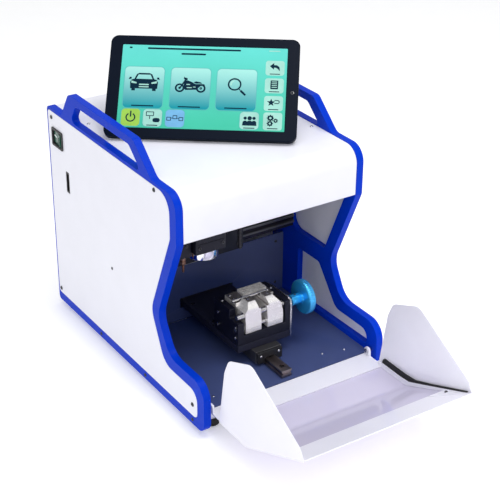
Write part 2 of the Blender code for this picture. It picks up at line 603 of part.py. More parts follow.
# Rocker from above, as (x, y) from its axis, then turned to its off position
ROCKER = [(-4.6, -11.0), (-3.6, 0.0), (-4.6, 11.0), (-1.5, 10.4), (3.0, 4.0), (3.0, -4.0),
          (-1.5, -10.4)]
ROCKER_ANGLE = math.radians(-8.0)
cosine, sine = math.cos(ROCKER_ANGLE), math.sin(ROCKER_ANGLE)
rocker = [(ROCKER_X + x * cosine - y * sine, SWITCH[0] + x * sine + y * cosine)
          for x, y in ROCKER]
prism("power_rocker", "green_plastic", rocker, "z", (SWITCH[1] - 8.8, SWITCH[1] + 8.8),
      "rocker_axis")

port = prism("side_port", "black_plastic", centred(PORT, PORT_BODY, r=1.0), "x",
             (-134.9, -123.0))
cut(port, centred(PORT, (2.8, 12.5)), "x", (-140, -129))

inlet = prism("power_inlet", "black_plastic", centred(INLET, (16, 13), r=2.0), "y",
              (389.0, 391.0))
join(inlet, centred(INLET, INLET_BODY), "y", (372.0, 390.0))
cut(inlet, centred(INLET, (11.5, 8)), "y", (376.0, 395.0))

# Power supply with five slots in its left side
supply = box("power_supply", "zinc_plate", (-118, -40), (225, 362), (BASE_Z[1] + GAP, 50.0))
for k in range(5):
    cut(supply, rect(240 + 22 * k, 252 + 22 * k, 20, 24), "x", (-125, -112))

# Control board on four pillars; components as (x0, x1, y0, y1, top)
COMPONENTS = [
    (48, 64, 240, 256, 24), (48, 64, 266, 282, 24), (48, 64, 292, 308, 24),
    (80, 104, 250, 274, 17), (100, 116, 290, 350, 22), (60, 88, 330, 352, 20)]
board = box("control_board", "circuit_board", (40, 118), (228, 362), (12.0, 13.8))
for *footprint, top in COMPONENTS:
    join(board, rect(*footprint), "z", (13.0, top))
for y in (233, 357):
    for x in (45, 113):
        pillar = cylinder_bm(3, "z", (x, y), (BASE_Z[1] + GAP, 12.5), 12)
        boolean(board, pillar, "UNION")

# ------------------------------------------------------- tablet on its swivel
SWIVEL = "tablet_axis"
TABLET_T = 7.5
TABLET_HALF = (120.0, 70.0)
SCREEN_HALF = (104.5, 57.0)
SCREEN_BACK = -1.0              # depth of the screen's back below the glass side
YAW, TILT = math.radians(-36.8), math.radians(43.5)
TURN = Matrix.Rotation(YAW, 4, "Z")
# Tablet's own frame: x to its right, y up its face, z out of its glass
TABLET_FRAME = Matrix.Translation(TABLET) @ TURN @ Matrix.Rotation(TILT, 4, "X")

BASE_TOP, BASE_BOTTOM = SWIVEL_Z - GAP, HOOD_TOP + GAP
SWIVEL_BASE = [(0, BASE_BOTTOM), (27, BASE_BOTTOM), (28, BASE_BOTTOM + 1),
               (28, BASE_TOP - 1), (27, BASE_TOP), (0, BASE_TOP)]
turned("tablet_base", "black_anodised", SWIVEL_BASE, "z", TABLET[:2], steps=36)


def tablet_slab(half, r, steps, span, extra=0.0):
    """Rounded slab centred on the tablet, over a span of its own z."""
    outline = centred((0, 0), half, extra, r, steps)
    return placed(prism_bm(outline, "z", span), TABLET_FRAME)


shell = finish("tablet_body", "tablet_shell",
               tablet_slab(TABLET_HALF, 10.0, 6, (-TABLET_T, 0.0)), SWIVEL, True)
screen_recess = tablet_slab(SCREEN_HALF, 1.0, 2, (SCREEN_BACK - GAP, 2.0), GAP)
boolean(shell, screen_recess, "DIFFERENCE")
finish("tablet_screen", "screen_glass",
       tablet_slab(SCREEN_HALF, 0.8, 2, (SCREEN_BACK, -0.05)), SWIVEL)

# Bracket: a plate behind the tablet on a post, whose top is cut to the tilt
# and ends inside the plate
PLATE_BACK = -TABLET_T - 3.3
bracket = finish("tablet_bracket", "black_anodised",
                 tablet_slab((45.0, 28.0), 5.0, 3, (PLATE_BACK, -TABLET_T - GAP)), SWIVEL)
POST_X, POST_Y = 11.0, 12.0     # half sizes
post_top = TABLET[2] - (TABLET_T + 2.0) / math.cos(TILT)
post_rise = POST_Y * math.tan(TILT)
post = [(-POST_Y, SWIVEL_Z), (POST_Y, SWIVEL_Z), (POST_Y, post_top + post_rise),
        (-POST_Y, post_top - post_rise)]
POST_FRAME = Matrix.Translation((TABLET[0], TABLET[1], 0.0)) @ TURN
boolean(bracket, placed(prism_bm(post, "x", (-POST_X, POST_X)), POST_FRAME), "UNION")

for ob in bpy.data.objects:
    if ob.type == "MESH":
        ob.data.validate()
bpy.context.view_layer.update()
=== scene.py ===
"""Key duplicating machine: detailed pieces hung on its CAD frame, with a small studio.

Pieces are modelled in machine millimetres: x 0 midway between the side frames, growing to the
right; y 0 at the front of the frames, growing to the rear; z 0 at their foot, growing up.
The door reaches forward of the frames.  The tablet has its own axes: u along the
screen, v up the screen and w out of the glass.
"""

import json
import math

import bmesh
import bpy
from mathutils import Matrix, Vector

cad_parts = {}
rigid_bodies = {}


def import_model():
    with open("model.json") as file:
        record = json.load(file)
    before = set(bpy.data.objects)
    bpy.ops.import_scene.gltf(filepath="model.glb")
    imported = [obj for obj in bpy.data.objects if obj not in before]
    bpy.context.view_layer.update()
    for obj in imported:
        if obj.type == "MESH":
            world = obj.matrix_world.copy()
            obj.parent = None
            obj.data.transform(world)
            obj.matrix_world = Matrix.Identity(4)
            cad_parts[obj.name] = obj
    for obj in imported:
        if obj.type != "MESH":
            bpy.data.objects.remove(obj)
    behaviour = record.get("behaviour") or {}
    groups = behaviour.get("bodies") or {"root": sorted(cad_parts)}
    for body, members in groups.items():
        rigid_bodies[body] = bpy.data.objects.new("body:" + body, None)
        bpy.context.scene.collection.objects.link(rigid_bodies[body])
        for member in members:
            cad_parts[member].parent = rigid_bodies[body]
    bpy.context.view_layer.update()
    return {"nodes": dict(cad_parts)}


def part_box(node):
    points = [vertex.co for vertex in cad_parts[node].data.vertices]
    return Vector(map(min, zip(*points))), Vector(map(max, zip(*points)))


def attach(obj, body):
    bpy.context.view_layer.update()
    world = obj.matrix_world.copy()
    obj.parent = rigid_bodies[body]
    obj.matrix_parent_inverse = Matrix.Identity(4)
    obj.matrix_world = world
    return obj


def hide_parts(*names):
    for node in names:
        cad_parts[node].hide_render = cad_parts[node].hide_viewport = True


for stray in list(bpy.data.objects):
    bpy.data.objects.remove(stray, do_unlink=True)
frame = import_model()

LEFT_BOX, RIGHT_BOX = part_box("left_frame"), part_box("right_frame")
ORIGIN = Vector(((LEFT_BOX[0].x + RIGHT_BOX[1].x) / 2, LEFT_BOX[0].y, LEFT_BOX[0].z))
TO_WORLD = Matrix.Translation(ORIGIN) @ Matrix.Scale(0.001, 4)


def cad_box(node):
    """Lowest and highest corner of a CAD node in machine millimetres."""
    lo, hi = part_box(node)
    return (lo - ORIGIN) * 1000.0, (hi - ORIGIN) * 1000.0


# --------------------------------------------------------------- driving dimensions
FRAME_IN, FRAME_OUT = 125.0, 135.0      # inner and outer faces of a side frame, from x 0
INSIDE_X = 124.7                        # half width of the sheets between the frames
DEPTH = (LEFT_BOX[1].y - LEFT_BOX[0].y) * 1000.0
TOP = cad_box("top_hood")[1].z + 0.6
HANDLE_TOP = cad_box("left_frame")[1].z
HEAD_Y, LIP_Z = 57.8, 229.5             # front face of the head and the foot of that face
PIN_Y, PIN_Z = 10.0, 28.0               # door hinge axis
FLOOR_Z = cad_box("chamber_back_wall")[0].z - 0.3
Y_SCREW_Z = 66.0                        # axis of the y lead screw, at x 0
X_SCREW = (0, 178, 166)                 # a point on the x lead screw
Z_SCREW = (9, 145)                      # x, y of the z lead screw
SPINDLE = (-56.0, 130.0, 0)             # axis of the spindle
CLAMP_AXIS = (0, 81.0, 91.0)            # clamp screw and knob
GUIDE_AXIS = (0, 81.0, 74.0)            # rod below the clamp screw

# directions of the tilted screen
YAW, TILT = math.radians(-36.8), math.radians(43.5)
ALONG = Vector((math.cos(YAW), math.sin(YAW), 0.0))
TO_FRONT = Vector((math.sin(YAW), -math.cos(YAW), 0.0))
SCREEN_UP = Vector((0, 0, 1)) * math.sin(TILT) - TO_FRONT * math.cos(TILT)
SCREEN_OUT = ALONG.cross(SCREEN_UP)


# ------------------------------------------------------------------------- materials
MATERIALS = {}
NOISE_SPREAD = {"From Min": 0.3, "From Max": 0.7}     # the part of the noise range in use


def rgb(colour):
    """Linear RGBA of an sRGB colour given as 0 to 255."""
    unit = [c / 255.0 for c in colour]
    linear = [c / 12.92 if c <= 0.04045 else ((c + 0.055) / 1.055) ** 2.4 for c in unit]
    return tuple(min(1.0, c) for c in linear) + (1.0,)


def add_node(tree, kind, inputs=None, out=0, **settings):
    """Adds a shader node, sets or links its inputs, and returns one of its outputs."""
    node = tree.nodes.new("ShaderNode" + kind)
    for key, value in settings.items():
        setattr(node, key, value)
    for key, value in (inputs or {}).items():
        if isinstance(value, bpy.types.NodeSocket):
            tree.links.new(value, node.inputs[key])
        else:
            node.inputs[key].default_value = value
    return node.outputs[out]


def noise(tree, vector, scale, detail=2.0):
    return add_node(tree, "TexNoise", {"Vector": vector, "Scale": scale, "Detail": detail})


def screen_gradient(tree, place, v_low, v_high, low, high):
    """Colour that runs between two heights up the screen, in mm from its middle."""
    middle = (sum(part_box("tablet_screen"), Vector()) / 2).dot(SCREEN_UP)
    height = add_node(tree, "VectorMath", {0: place, 1: SCREEN_UP}, "Value",
                      operation="DOT_PRODUCT")
    fraction = add_node(tree, "MapRange", {
        "Value": height, "From Min": middle + v_low * 0.001, "From Max": middle + v_high * 0.001})
    return add_node(tree, "MixRGB", {"Fac": fraction, "Color1": rgb(low), "Color2": rgb(high)})


def edge_tint(tree, colour, tint, start, end, amount, blend):
    """Mixes a tint over edges or corners, found by pointiness from start to end."""
    pointiness = add_node(tree, "NewGeometry", out="Pointiness")
    factor = add_node(tree, "MapRange", {
        "Value": pointiness, "From Min": start, "From Max": end, "To Max": amount})
    return add_node(tree, "MixRGB", {"Fac": factor, "Color1": colour, "Color2": tint},
                    blend_type=blend)


def surface(name, colour, rough, metal=0.0, grain=1500.0, bump=0.05, vary=0.06,
            stretch=(1, 1, 1), rough_vary=0.08, edge_wear_and_highlight=0.0, edge_wear_and_highlight_colour=(230, 230, 232),
            coat=0.0, specular=0.5, glow=0.0, patch=25.0, painted_corner_shade=0.0, gradient=None):
    """Painted, moulded or machined surface: patchy colour, fine grain bump,
    uneven roughness, edges tinted as wear and, on some materials, as a painted highlight,
    and corners darkened as painted shade.
    grain and patch are noise scales, stretch draws the grain out along an axis."""
    material = bpy.data.materials.new(name)
    material.use_nodes = True
    tree = material.node_tree
    shader = tree.nodes["Principled BSDF"]
    place = add_node(tree, "TexCoord", out="Object")
    stretched = add_node(tree, "Mapping", {"Vector": place, "Scale": stretch})
    patches = noise(tree, place, patch, 4.0)
    fine = noise(tree, stretched, grain, 3.0)

    shade = add_node(tree, "MapRange", {
        "Value": patches, **NOISE_SPREAD, "To Min": 1.0 - vary, "To Max": 1.0 + vary * 0.5})
    plain = screen_gradient(tree, place, *gradient) if gradient else rgb(colour)[:3]
    tone = add_node(tree, "VectorMath", {0: plain, "Scale": shade}, operation="SCALE")
    # convex edges are tinted: worn edges on some materials, a painted highlight on others
    if edge_wear_and_highlight > 0:
        tone = edge_tint(tree, tone, rgb(edge_wear_and_highlight_colour), 0.52, 0.62, edge_wear_and_highlight, "MIX")
    # concave corners are darkened by pointiness: painted shade
    if painted_corner_shade > 0:
        tone = edge_tint(tree, tone, (0.25, 0.24, 0.24, 1), 0.48, 0.38, painted_corner_shade, "MULTIPLY")

    half = add_node(tree, "Math", {0: patches, 1: 0.5}, operation="MULTIPLY")
    blend = add_node(tree, "Math", {0: fine, 1: 0.5, 2: half}, operation="MULTIPLY_ADD")
    roughness = add_node(tree, "MapRange", {
        "Value": blend, **NOISE_SPREAD,
        "To Min": max(0.02, rough - rough_vary), "To Max": rough + rough_vary})
    normal = add_node(tree, "Bump", {"Strength": bump, "Distance": 0.0004, "Height": fine})
    tree.links.new(tone, shader.inputs["Base Color"])
    tree.links.new(roughness, shader.inputs["Roughness"])
    tree.links.new(normal, shader.inputs["Normal"])
    for key, value in (("Metallic", metal), ("Specular IOR Level", specular),
                       ("Coat Weight", coat), ("Coat Roughness", 0.08)):
        shader.inputs[key].default_value = value
    if glow > 0:
        tree.links.new(tone, shader.inputs["Emission Color"])
        shader.inputs["Emission Strength"].default_value = glow
    MATERIALS[name] = material


def clear_window():
    """Milky tinted sheet: transparent and diffuse, under a Fresnel gloss."""
    material = bpy.data.materials.new("clear_window")
    material.use_nodes = True
    tree = material.node_tree
    tree.nodes.remove(tree.nodes["Principled BSDF"])
    place = add_node(tree, "TexCoord", out="Object")
    tint = add_node(tree, "ValToRGB", {"Fac": noise(tree, place, 14.0)})
    stops = tint.node.color_ramp.elements
    stops[0].position, stops[0].color = 0.3, rgb((222, 216, 242))
    stops[1].position, stops[1].color = 0.75, rgb((234, 230, 248))
    ripple = add_node(tree, "Bump", {
        "Strength": 0.03, "Distance": 0.0005, "Height": noise(tree, place, 300.0)})
    clear = add_node(tree, "BsdfTransparent", {"Color": tint})
    milky = add_node(tree, "BsdfDiffuse", {"Color": rgb((232, 226, 250))})
    gloss = add_node(tree, "BsdfGlossy", {"Roughness": 0.06, "Normal": ripple})
    sheet = add_node(tree, "MixShader", {"Fac": 0.80, 1: clear, 2: milky})
    fresnel = add_node(tree, "Fresnel", {"IOR": 1.45})
    glazed = add_node(tree, "MixShader", {"Fac": fresnel, 1: sheet, 2: gloss})
    tree.links.new(glazed, tree.nodes["Material Output"].inputs["Surface"])
    MATERIALS["clear_window"] = material


# paints
# blue paint: its lighter blue edge tint is a painted highlight on the frame bevels
surface("blue_paint", (2, 54, 194), rough=0.34, grain=900, bump=0.10, vary=0.05, edge_wear_and_highlight=0.10,
        edge_wear_and_highlight_colour=(30, 110, 255), coat=0.05, specular=0.04, painted_corner_shade=0.25)
surface("white_paint", (236, 236, 245), rough=0.38, grain=2200, bump=0.10, vary=0.02,
        rough_vary=0.06, coat=0.15, painted_corner_shade=0.10)
surface("door_paint", (238, 237, 246), rough=0.36, grain=2200, bump=0.08, vary=0.02,
        rough_vary=0.06, coat=0.2, painted_corner_shade=0.10)
surface("navy_paint", (50, 66, 118), rough=0.5, grain=1800, bump=0.14, vary=0.10, painted_corner_shade=0.35,
        edge_wear_and_highlight=0.06, specular=0.16)
# metals
surface("black_anodised", (15, 16, 32), rough=0.38, grain=1400, bump=0.10, vary=0.15,
        stretch=(1, 6, 1), edge_wear_and_highlight=0.08, edge_wear_and_highlight_colour=(90, 92, 112), specular=0.3)
surface("jaw_steel", (252, 249, 246), rough=0.26, metal=0.52, grain=900, bump=0.06, vary=0.04,
        stretch=(1, 1, 14), rough_vary=0.04, edge_wear_and_highlight=0.15, painted_corner_shade=0.5, patch=30)
# darker copy of the jaw steel for the upward faces, painted shade; its pale edge tint is a painted
# highlight
surface("jaw_top_shade", (150, 143, 142), rough=0.30, metal=0.75, grain=900, bump=0.08, vary=0.10,
        stretch=(14, 1, 1), rough_vary=0.06, edge_wear_and_highlight=0.5, edge_wear_and_highlight_colour=(235, 232, 230), painted_corner_shade=0.6,
        patch=40)
surface("bright_steel", (206, 205, 206), rough=0.24, metal=1.0, grain=900, bump=0.07, vary=0.08,
        stretch=(8, 1, 8), edge_wear_and_highlight=0.2, painted_corner_shade=0.5)
surface("rail_steel", (112, 98, 98), rough=0.32, metal=1.0, grain=900, bump=0.08, vary=0.16,
        stretch=(14, 1, 14), edge_wear_and_highlight=0.3, painted_corner_shade=0.5)
surface("block_steel", (30, 28, 36), rough=0.34, metal=0.7, grain=900, bump=0.08, vary=0.15,
        edge_wear_and_highlight=0.35, painted_corner_shade=0.5)
surface("polished_ring", (238, 238, 240), rough=0.12, metal=1.0, grain=1200, bump=0.03,
        vary=0.05, edge_wear_and_highlight=0.2)
surface("screw_steel", (210, 210, 214), rough=0.22, metal=1.0, bump=0.05, painted_corner_shade=0.6)
surface("screw_dark", (36, 36, 42), rough=0.35, metal=0.7, bump=0.06, vary=0.12, edge_wear_and_highlight=0.4,
        edge_wear_and_highlight_colour=(150, 150, 155))
# knob anodising: its pale cyan edge tint is a painted highlight on the knurl and rims
surface("blue_anodised", (52, 184, 255), rough=0.20, metal=0.64, grain=700, bump=0.05,
        stretch=(14, 1, 1), edge_wear_and_highlight=0.4, edge_wear_and_highlight_colour=(160, 232, 252), coat=0.2)
# lighter copy of the black anodising for the carriage plate: painted light
surface("carriage_black_lit", (29, 30, 46), rough=0.42, grain=1400, bump=0.10, vary=0.15,
        stretch=(1, 6, 1), edge_wear_and_highlight=0.10, edge_wear_and_highlight_colour=(110, 112, 135), specular=0.3)
# rubber and plastics
surface("black_rubber", (14, 14, 17), rough=0.72, grain=1600, bump=0.18, vary=0.2,
        rough_vary=0.1)
surface("black_plastic", (22, 22, 25), rough=0.48, grain=2200, bump=0.18, vary=0.1, edge_wear_and_highlight=0.15,
        edge_wear_and_highlight_colour=(90, 90, 96))
surface("tablet_shell", (4, 14, 30), rough=0.36, grain=2500, bump=0.04, vary=0.08,
        specular=0.06, edge_wear_and_highlight=0.03, edge_wear_and_highlight_colour=(40, 50, 90))
surface("green_plastic", (26, 84, 66), rough=0.26, bump=0.05, vary=0.1, coat=0.5, glow=0.03)
surface("circuit_board", (22, 88, 52), rough=0.45, grain=800, bump=0.15, vary=0.25, patch=120)
surface("zinc_plate", (172, 175, 180), rough=0.34, metal=1.0, grain=600, bump=0.08, vary=0.14,
        patch=60, edge_wear_and_highlight=0.2, painted_corner_shade=0.4)
surface("brass", (120, 84, 66), rough=0.34, metal=0.85, grain=900, bump=0.06, vary=0.15,
        edge_wear_and_highlight=0.2, painted_corner_shade=0.4)
# the picture on the screen
SCREEN = dict(grain=2500, bump=0.02)
BUTTON = dict(SCREEN, rough=0.3, specular=0.05, glow=0.1)
surface("ui_screen", None, rough=0.3, **SCREEN, vary=0.08, patch=11, specular=0.05, glow=0.12,
        gradient=(-50, 52, (64, 178, 150), (90, 196, 186)))
surface("ui_tile", None, rough=0.3, **SCREEN, vary=0.04, patch=18, specular=0.05, glow=0.12,
        gradient=(-28, 24, (26, 138, 150), (150, 208, 200)))
surface("ui_edge", (86, 170, 168), **BUTTON, vary=0.05)
surface("ui_dark", (8, 38, 56), rough=0.4, **SCREEN, vary=0.1, specular=0.03)
surface("ui_white", (238, 246, 246), rough=0.2, **SCREEN, vary=0.04, coat=0.6, glow=0.3)
surface("ui_light", (150, 200, 188), **BUTTON, vary=0.10, patch=60)
surface("ui_yellow", (146, 190, 78), **BUTTON, vary=0.12, patch=60)
surface("ui_blue", (108, 166, 206), **BUTTON, vary=0.12, patch=60)
surface("lens", (6, 6, 12), rough=0.06, grain=2500, bump=0.01, vary=0.1, coat=1.0)
clear_window()


# ------------------------------------------------------------------ flat outlines
def about(centre, half):
    return centre - half, centre + half


def mirrored(side, near, far):
    """Span between two distances from x 0 on one side, lowest first."""
    return sorted((side * near, side * far))


def fillet(corners, segments=8):
    """Rounds the (u, v, radius) corners of a closed outline; segments fill a quarter turn."""
    out = []
    count = len(corners)
    for i, (u, v, radius) in enumerate(corners):
        corner = Vector((u, v))
        if radius <= 0:
            out.append(corner)
            continue
        back = (Vector(corners[i - 1][:2]) - corner).normalized()
        ahead = (Vector(corners[(i + 1) % count][:2]) - corner).normalized()
        angle = math.acos(max(-1.0, min(1.0, back.dot(ahead))))
        reach = radius / math.tan(angle / 2)
        centre = corner + (back + ahead).normalized() * (radius / math.sin(angle / 2))
        start = corner + back * reach - centre
        end = corner + ahead * reach - centre
        first = math.atan2(start.y, start.x)
        sweep = math.atan2(start.x * end.y - start.y * end.x, start.dot(end))
        steps = max(3, int(round(segments * abs(sweep) / (math.pi / 2))))
        for j in range(steps + 1):
            t = first + sweep * j / steps
            out.append(centre + Vector((math.cos(t), math.sin(t))) * radius)
    return out


def rect(u0, u1, v0, v1, radius=0.0, segments=5):
    corners = ((u0, v0), (u1, v0), (u1, v1), (u0, v1))
    return fillet([(u, v, radius) for u, v in corners], segments)


def grow(corners, distance):
    """Filleted outline moved outwards."""
    points = fillet(corners, 8)
    out = []
    for i, point in enumerate(points):
        into = (point - points[i - 1]).normalized()
        away = (points[(i + 1) % len(points)] - point).normalized()
        normal = Vector((into.y, -into.x)) + Vector((away.y, -away.x))
        out.append(point + normal.normalized() * distance)
    return out


def bent_sheet(points, thickness):
    """Closed outline of a sheet that follows a line of points."""
    line = [Vector(p) for p in points]
    normals = []
    for start, end in zip(line, line[1:]):
        along = (end - start).normalized()
        normals.append(Vector((along.y, -along.x)))
    offset = [line[0] + normals[0] * thickness]
    for point, n0, n1 in zip(line[1:], normals, normals[1:]):
        mitre = (n0 + n1).normalized()
        offset.append(point + mitre * (thickness / max(0.3, mitre.dot(n1))))
    offset.append(line[-1] + normals[-1] * thickness)
    return line + offset[::-1]


def soft_bend(corner, into, away, radius, segments):
    """Points of a rounded bend at a corner between two directions."""
    reach = 40      # length of the straight legs, dropped again
    points = fillet([(corner[0] - into[0] * reach, corner[1] - into[1] * reach, 0),
                     (*corner, radius),
                     (corner[0] + away[0] * reach, corner[1] + away[1] * reach, 0)], segments)
    return [tuple(p) for p in points[1:-1]]


# -------------------------------------------------------------------- solid shapes
DIRECTIONS = {"x": (1, 0, 0), "y": (0, 1, 0), "z": (0, 0, 1), "-x": (-1, 0, 0), "-y": (0, -1, 0)}


def placing(x_dir, y_dir, z_dir, origin):
    """Matrix with the given axes and origin."""
    matrix = Matrix((x_dir, y_dir, z_dir)).transposed().to_4x4()
    matrix.translation = origin
    return matrix


def prism(outline, axis, lo, hi, bm=None, matrix=None):
    """Outline extruded along x, y or z; its own axes are the other two, in order."""
    bm = bm or bmesh.new()
    ends = []
    for along in (lo, hi):
        ends.append([])
        for point in outline:
            coords = [point[0], point[1]]
            coords.insert("xyz".index(axis), along)
            ends[-1].append(bm.verts.new(coords))
    a, b = ends
    faces = [bm.faces.new(a), bm.faces.new(b[::-1])]
    for i in range(len(a)):
        j = (i + 1) % len(a)
        faces.append(bm.faces.new((a[j], a[i], b[i], b[j])))
    if matrix is not None:
        bmesh.ops.transform(bm, matrix=matrix, verts=a + b)
    bmesh.ops.recalc_face_normals(bm, faces=faces)
    return bm


def box(x_span, y_span, z_span, axis="z", radius=0.0, bm=None, matrix=None):
    """Box with the edges that run along one axis rounded."""
    spans = [x_span, y_span, z_span]
    lo, hi = spans.pop("xyz".index(axis))
    return prism(rect(*spans[0], *spans[1], radius), axis, lo, hi, bm, matrix)


def ring_faces(bm, rings, capped=True, around=True):
    """Skins a list of vertex rings of equal length."""
    faces = []
    count = len(rings[0])
    for r0, r1 in zip(rings, rings[1:]):
        for i in range(count if around else count - 1):
            j = (i + 1) % count
            faces.append(bm.faces.new((r0[i], r0[j], r1[j], r1[i])))
    if capped:
        faces.append(bm.faces.new(rings[0][::-1]))
        faces.append(bm.faces.new(rings[-1]))
    bmesh.ops.recalc_face_normals(bm, faces=faces)


def lathe(profile, axis, centre, segments=48, bm=None, shape=None, hollow=False, turn=0.0):
    """Turns (radius, distance) points into a closed body.  shape(theta, i, radius)
    may change the radius, for knurls, hexagons and flutes."""
    bm = bm or bmesh.new()
    direction = Vector(DIRECTIONS[axis] if isinstance(axis, str) else axis).normalized()
    basis = Vector((0, 0, 1)).rotation_difference(direction).to_matrix().to_4x4()
    matrix = Matrix.Translation(Vector(centre)) @ basis @ Matrix.Rotation(turn, 4, "Z")
    rings = []
    for i, (radius, along) in enumerate(profile):
        ring = []
        for k in range(segments):
            theta = 2 * math.pi * k / segments
            r = shape(theta, i, radius) if shape else radius
            point = Vector((r * math.cos(theta), r * math.sin(theta), along))
            ring.append(bm.verts.new(matrix @ point))
        rings.append(ring)
    if hollow:
        rings.append(rings[0])
    ring_faces(bm, rings, capped=not hollow)
    return bm


def rod(radius, lo, hi, axis, centre, segments):
    return lathe([(radius, lo), (radius, hi)], axis, centre, segments)


def hex_radius(theta, flat):
    return flat / math.cos((theta % (math.pi / 3)) - math.pi / 6)


def cross_radius(theta, arm, half_width):
    c, s = abs(math.cos(theta)), abs(math.sin(theta))
    return max(min(arm, half_width / max(s, 1e-6)), min(arm, half_width / max(c, 1e-6)))


def screw(bm, at, normal, radius, height, kind, turn):
    """Screw head standing on a face: hex and cap have a hexagon socket, cross a cross."""
    cross = kind == "cross"
    if kind == "cap":
        head = [(radius, -0.4), (radius, height * 0.85), (radius * 0.9, height)]
    else:
        head = [(radius, -0.4), (radius, height * 0.25), (radius * 0.88, height * 0.72),
                (radius * 0.62, height)]
    socket = radius * (0.62 if cross else 0.5)

    def recess(theta, i, r):
        if i < len(head):
            return r
        if cross:
            wall = cross_radius(theta, socket, radius * 0.14)
        else:
            wall = hex_radius(theta, socket * 0.82)
        return wall * (1.0 if i == len(head) else 0.94)

    return lathe(head + [(socket, height), (socket, height * 0.30)], normal, at,
                 48 if cross else 24, bm, recess, turn=turn)


def screws(spots, normal, radius, height, kind, turn, twist=1.0, bm=None):
    """A group of equal screws.  turn is an angle in radians, or the axis whose
    coordinate, times twist, gives each screw its own angle."""
    bm = bm or bmesh.new()
    for spot in spots:
        angle = twist * spot["xyz".index(turn)] if isinstance(turn, str) else turn
        screw(bm, spot, normal, radius, height, kind, angle)
    return bm


def thread(radius, depth, start, end, pitch):
    """Profile of a threaded rod."""
    root = radius - depth
    profile = [(root - 0.3, start)]
    for k in range(int((end - start - 1.0) / pitch)):
        t = start + 0.5 + pitch * k
        profile += [(root, t), (radius, t + pitch * 0.35),
                    (radius, t + pitch * 0.55), (root, t + pitch * 0.9)]
    return profile + [(root, end - 0.3), (root - 0.3, end)]


def smooth_path(points, steps=8):
    """Catmull-Rom points through a list of points."""
    knots = [Vector(p) for p in points]
    knots = [knots[0]] + knots + [knots[-1]]
    out = []
    for a, b, c, d in zip(knots, knots[1:], knots[2:], knots[3:]):
        for k in range(steps):
            t = k / steps
            out.append(0.5 * ((2 * b) + (c - a) * t + (2 * a - 5 * b + 4 * c - d) * t * t
                              + (3 * b - a - 3 * c + d) * t ** 3))
    out.append(knots[-2])
    return out


def tube(bm, path, radius, segments=10):
    """Round cable along a path."""
    rings = []
    for i, point in enumerate(path):
        along = (path[min(i + 1, len(path) - 1)] - path[max(i - 1, 0)]).normalized()
        side = along.cross(Vector((0, 0, 1)))
        if side.length < 1e-3:
            side = along.cross(Vector((1, 0, 0)))
        side.normalize()
        over = side.cross(along).normalized()
        ring = []
        for k in range(segments):
            t = 2 * math.pi * k / segments
            ring.append(bm.verts.new(point + side * (radius * math.cos(t))
                                     + over * (radius * math.sin(t))))
        rings.append(ring)
    ring_faces(bm, rings)


# ------------------------------------------------------------------- making pieces
def add_object(name, data):
    ob = bpy.data.objects.new(name, data)
    bpy.context.scene.collection.objects.link(ob)
    return ob


def to_mesh(name, bm):
    mesh = bpy.data.meshes.new(name)
    bm.to_mesh(mesh)
    bm.free()
    return mesh


def joined(bm):
    """Marks an edit that adds material instead of cutting it away."""
    return "UNION", bm


def apply_boolean(ob, operation, bm):
    mesh = to_mesh("tool", bm)
    mesh.transform(TO_WORLD)
    tool = add_object("tool", mesh)
    modifier = ob.modifiers.new("cut", "BOOLEAN")
    modifier.solver = "EXACT"
    modifier.operation = operation
    modifier.object = tool
    bpy.context.view_layer.update()
    depsgraph = bpy.context.evaluated_depsgraph_get()
    new = bpy.data.meshes.new_from_object(ob.evaluated_get(depsgraph))
    ob.modifiers.clear()
    old = ob.data
    ob.data = new
    new.name = old.name + "_m"
    bpy.data.meshes.remove(old)
    bpy.data.objects.remove(tool, do_unlink=True)
    bpy.data.meshes.remove(mesh)


def make(name, bm, material, edits=()):
    """Mesh object from a bmesh in machine millimetres, then its cuts and unions in turn."""
    bmesh.ops.recalc_face_normals(bm, faces=bm.faces)
    mesh = to_mesh(name, bm)
    mesh.transform(TO_WORLD)
    ob = add_object(name, mesh)
    mesh.materials.append(MATERIALS[material])
    for edit in edits:
        operation, tool = edit if isinstance(edit, tuple) else ("DIFFERENCE", edit)
        apply_boolean(ob, operation, tool)
    return ob


def add_bevel(ob, width, segments, angle):
    bevel = ob.modifiers.new("edge", "BEVEL")
    bevel.width = width * 0.001
    bevel.segments = segments
    bevel.limit_method = "ANGLE"
    bevel.angle_limit = math.radians(angle)
    bevel.harden_normals = True
    return bevel


def finish(ob, body, node=None, slot=None, bevel=0.0, segments=2, angle=35):
    """Soft edges and smooth shading, then hangs the piece on its body."""
    ob.data.shade_smooth()
    ob.data.set_sharp_from_angle(angle=math.radians(angle))
    if bevel:
        add_bevel(ob, bevel, segments, angle).miter_outer = "MITER_ARC"
    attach(ob, body)
    if node:
        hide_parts(node)


def piece(name, bm, material, body="machine", edits=(), **finishing):
    finish(make(name, bm, material, edits), body, **finishing)


# -------------------------------------------------------------------- side frames
# outlines seen from the side: y, z, corner radius
FRAME_OUTLINE = [
    (0, 0, 13), (DEPTH, 0, 6), (DEPTH, TOP, 7), (349.5, TOP, 5), (325.5, HANDLE_TOP, 12),
    (154.5, HANDLE_TOP, 12), (113.7, TOP, 14), (HEAD_Y, TOP, 22), (HEAD_Y, LIP_Z, 12),
    (107.0, 114.8, 30), (80.5, 67.6, 30), (0, 67.5, 24)]
FRAME_OPENINGS = [
    # handle hole
    [(137.5, 293.8, 4), (322.0, 293.8, 6), (306.0, 319.4, 8), (166.5, 319.4, 8)],
    # upper front
    [(197.0, 127.0, 18), (197.0, 279.0, 8), (76.0, 279.0, 14), (74.5, 233.0, 12),
     (119.5, 127.0, 8)],
    # lower front
    [(178.0, 28.0, 3), (178.0, 102.3, 4), (130.0, 102.3, 8), (89.5, 50.8, 18),
     (21.0, 50.5, 12), (21.0, 31.0, 5)],
    # rear
    [(240.0, 28.0, 8), (379.0, 28.0, 8), (379.0, 279.0, 8), (240.0, 279.0, 8)]]
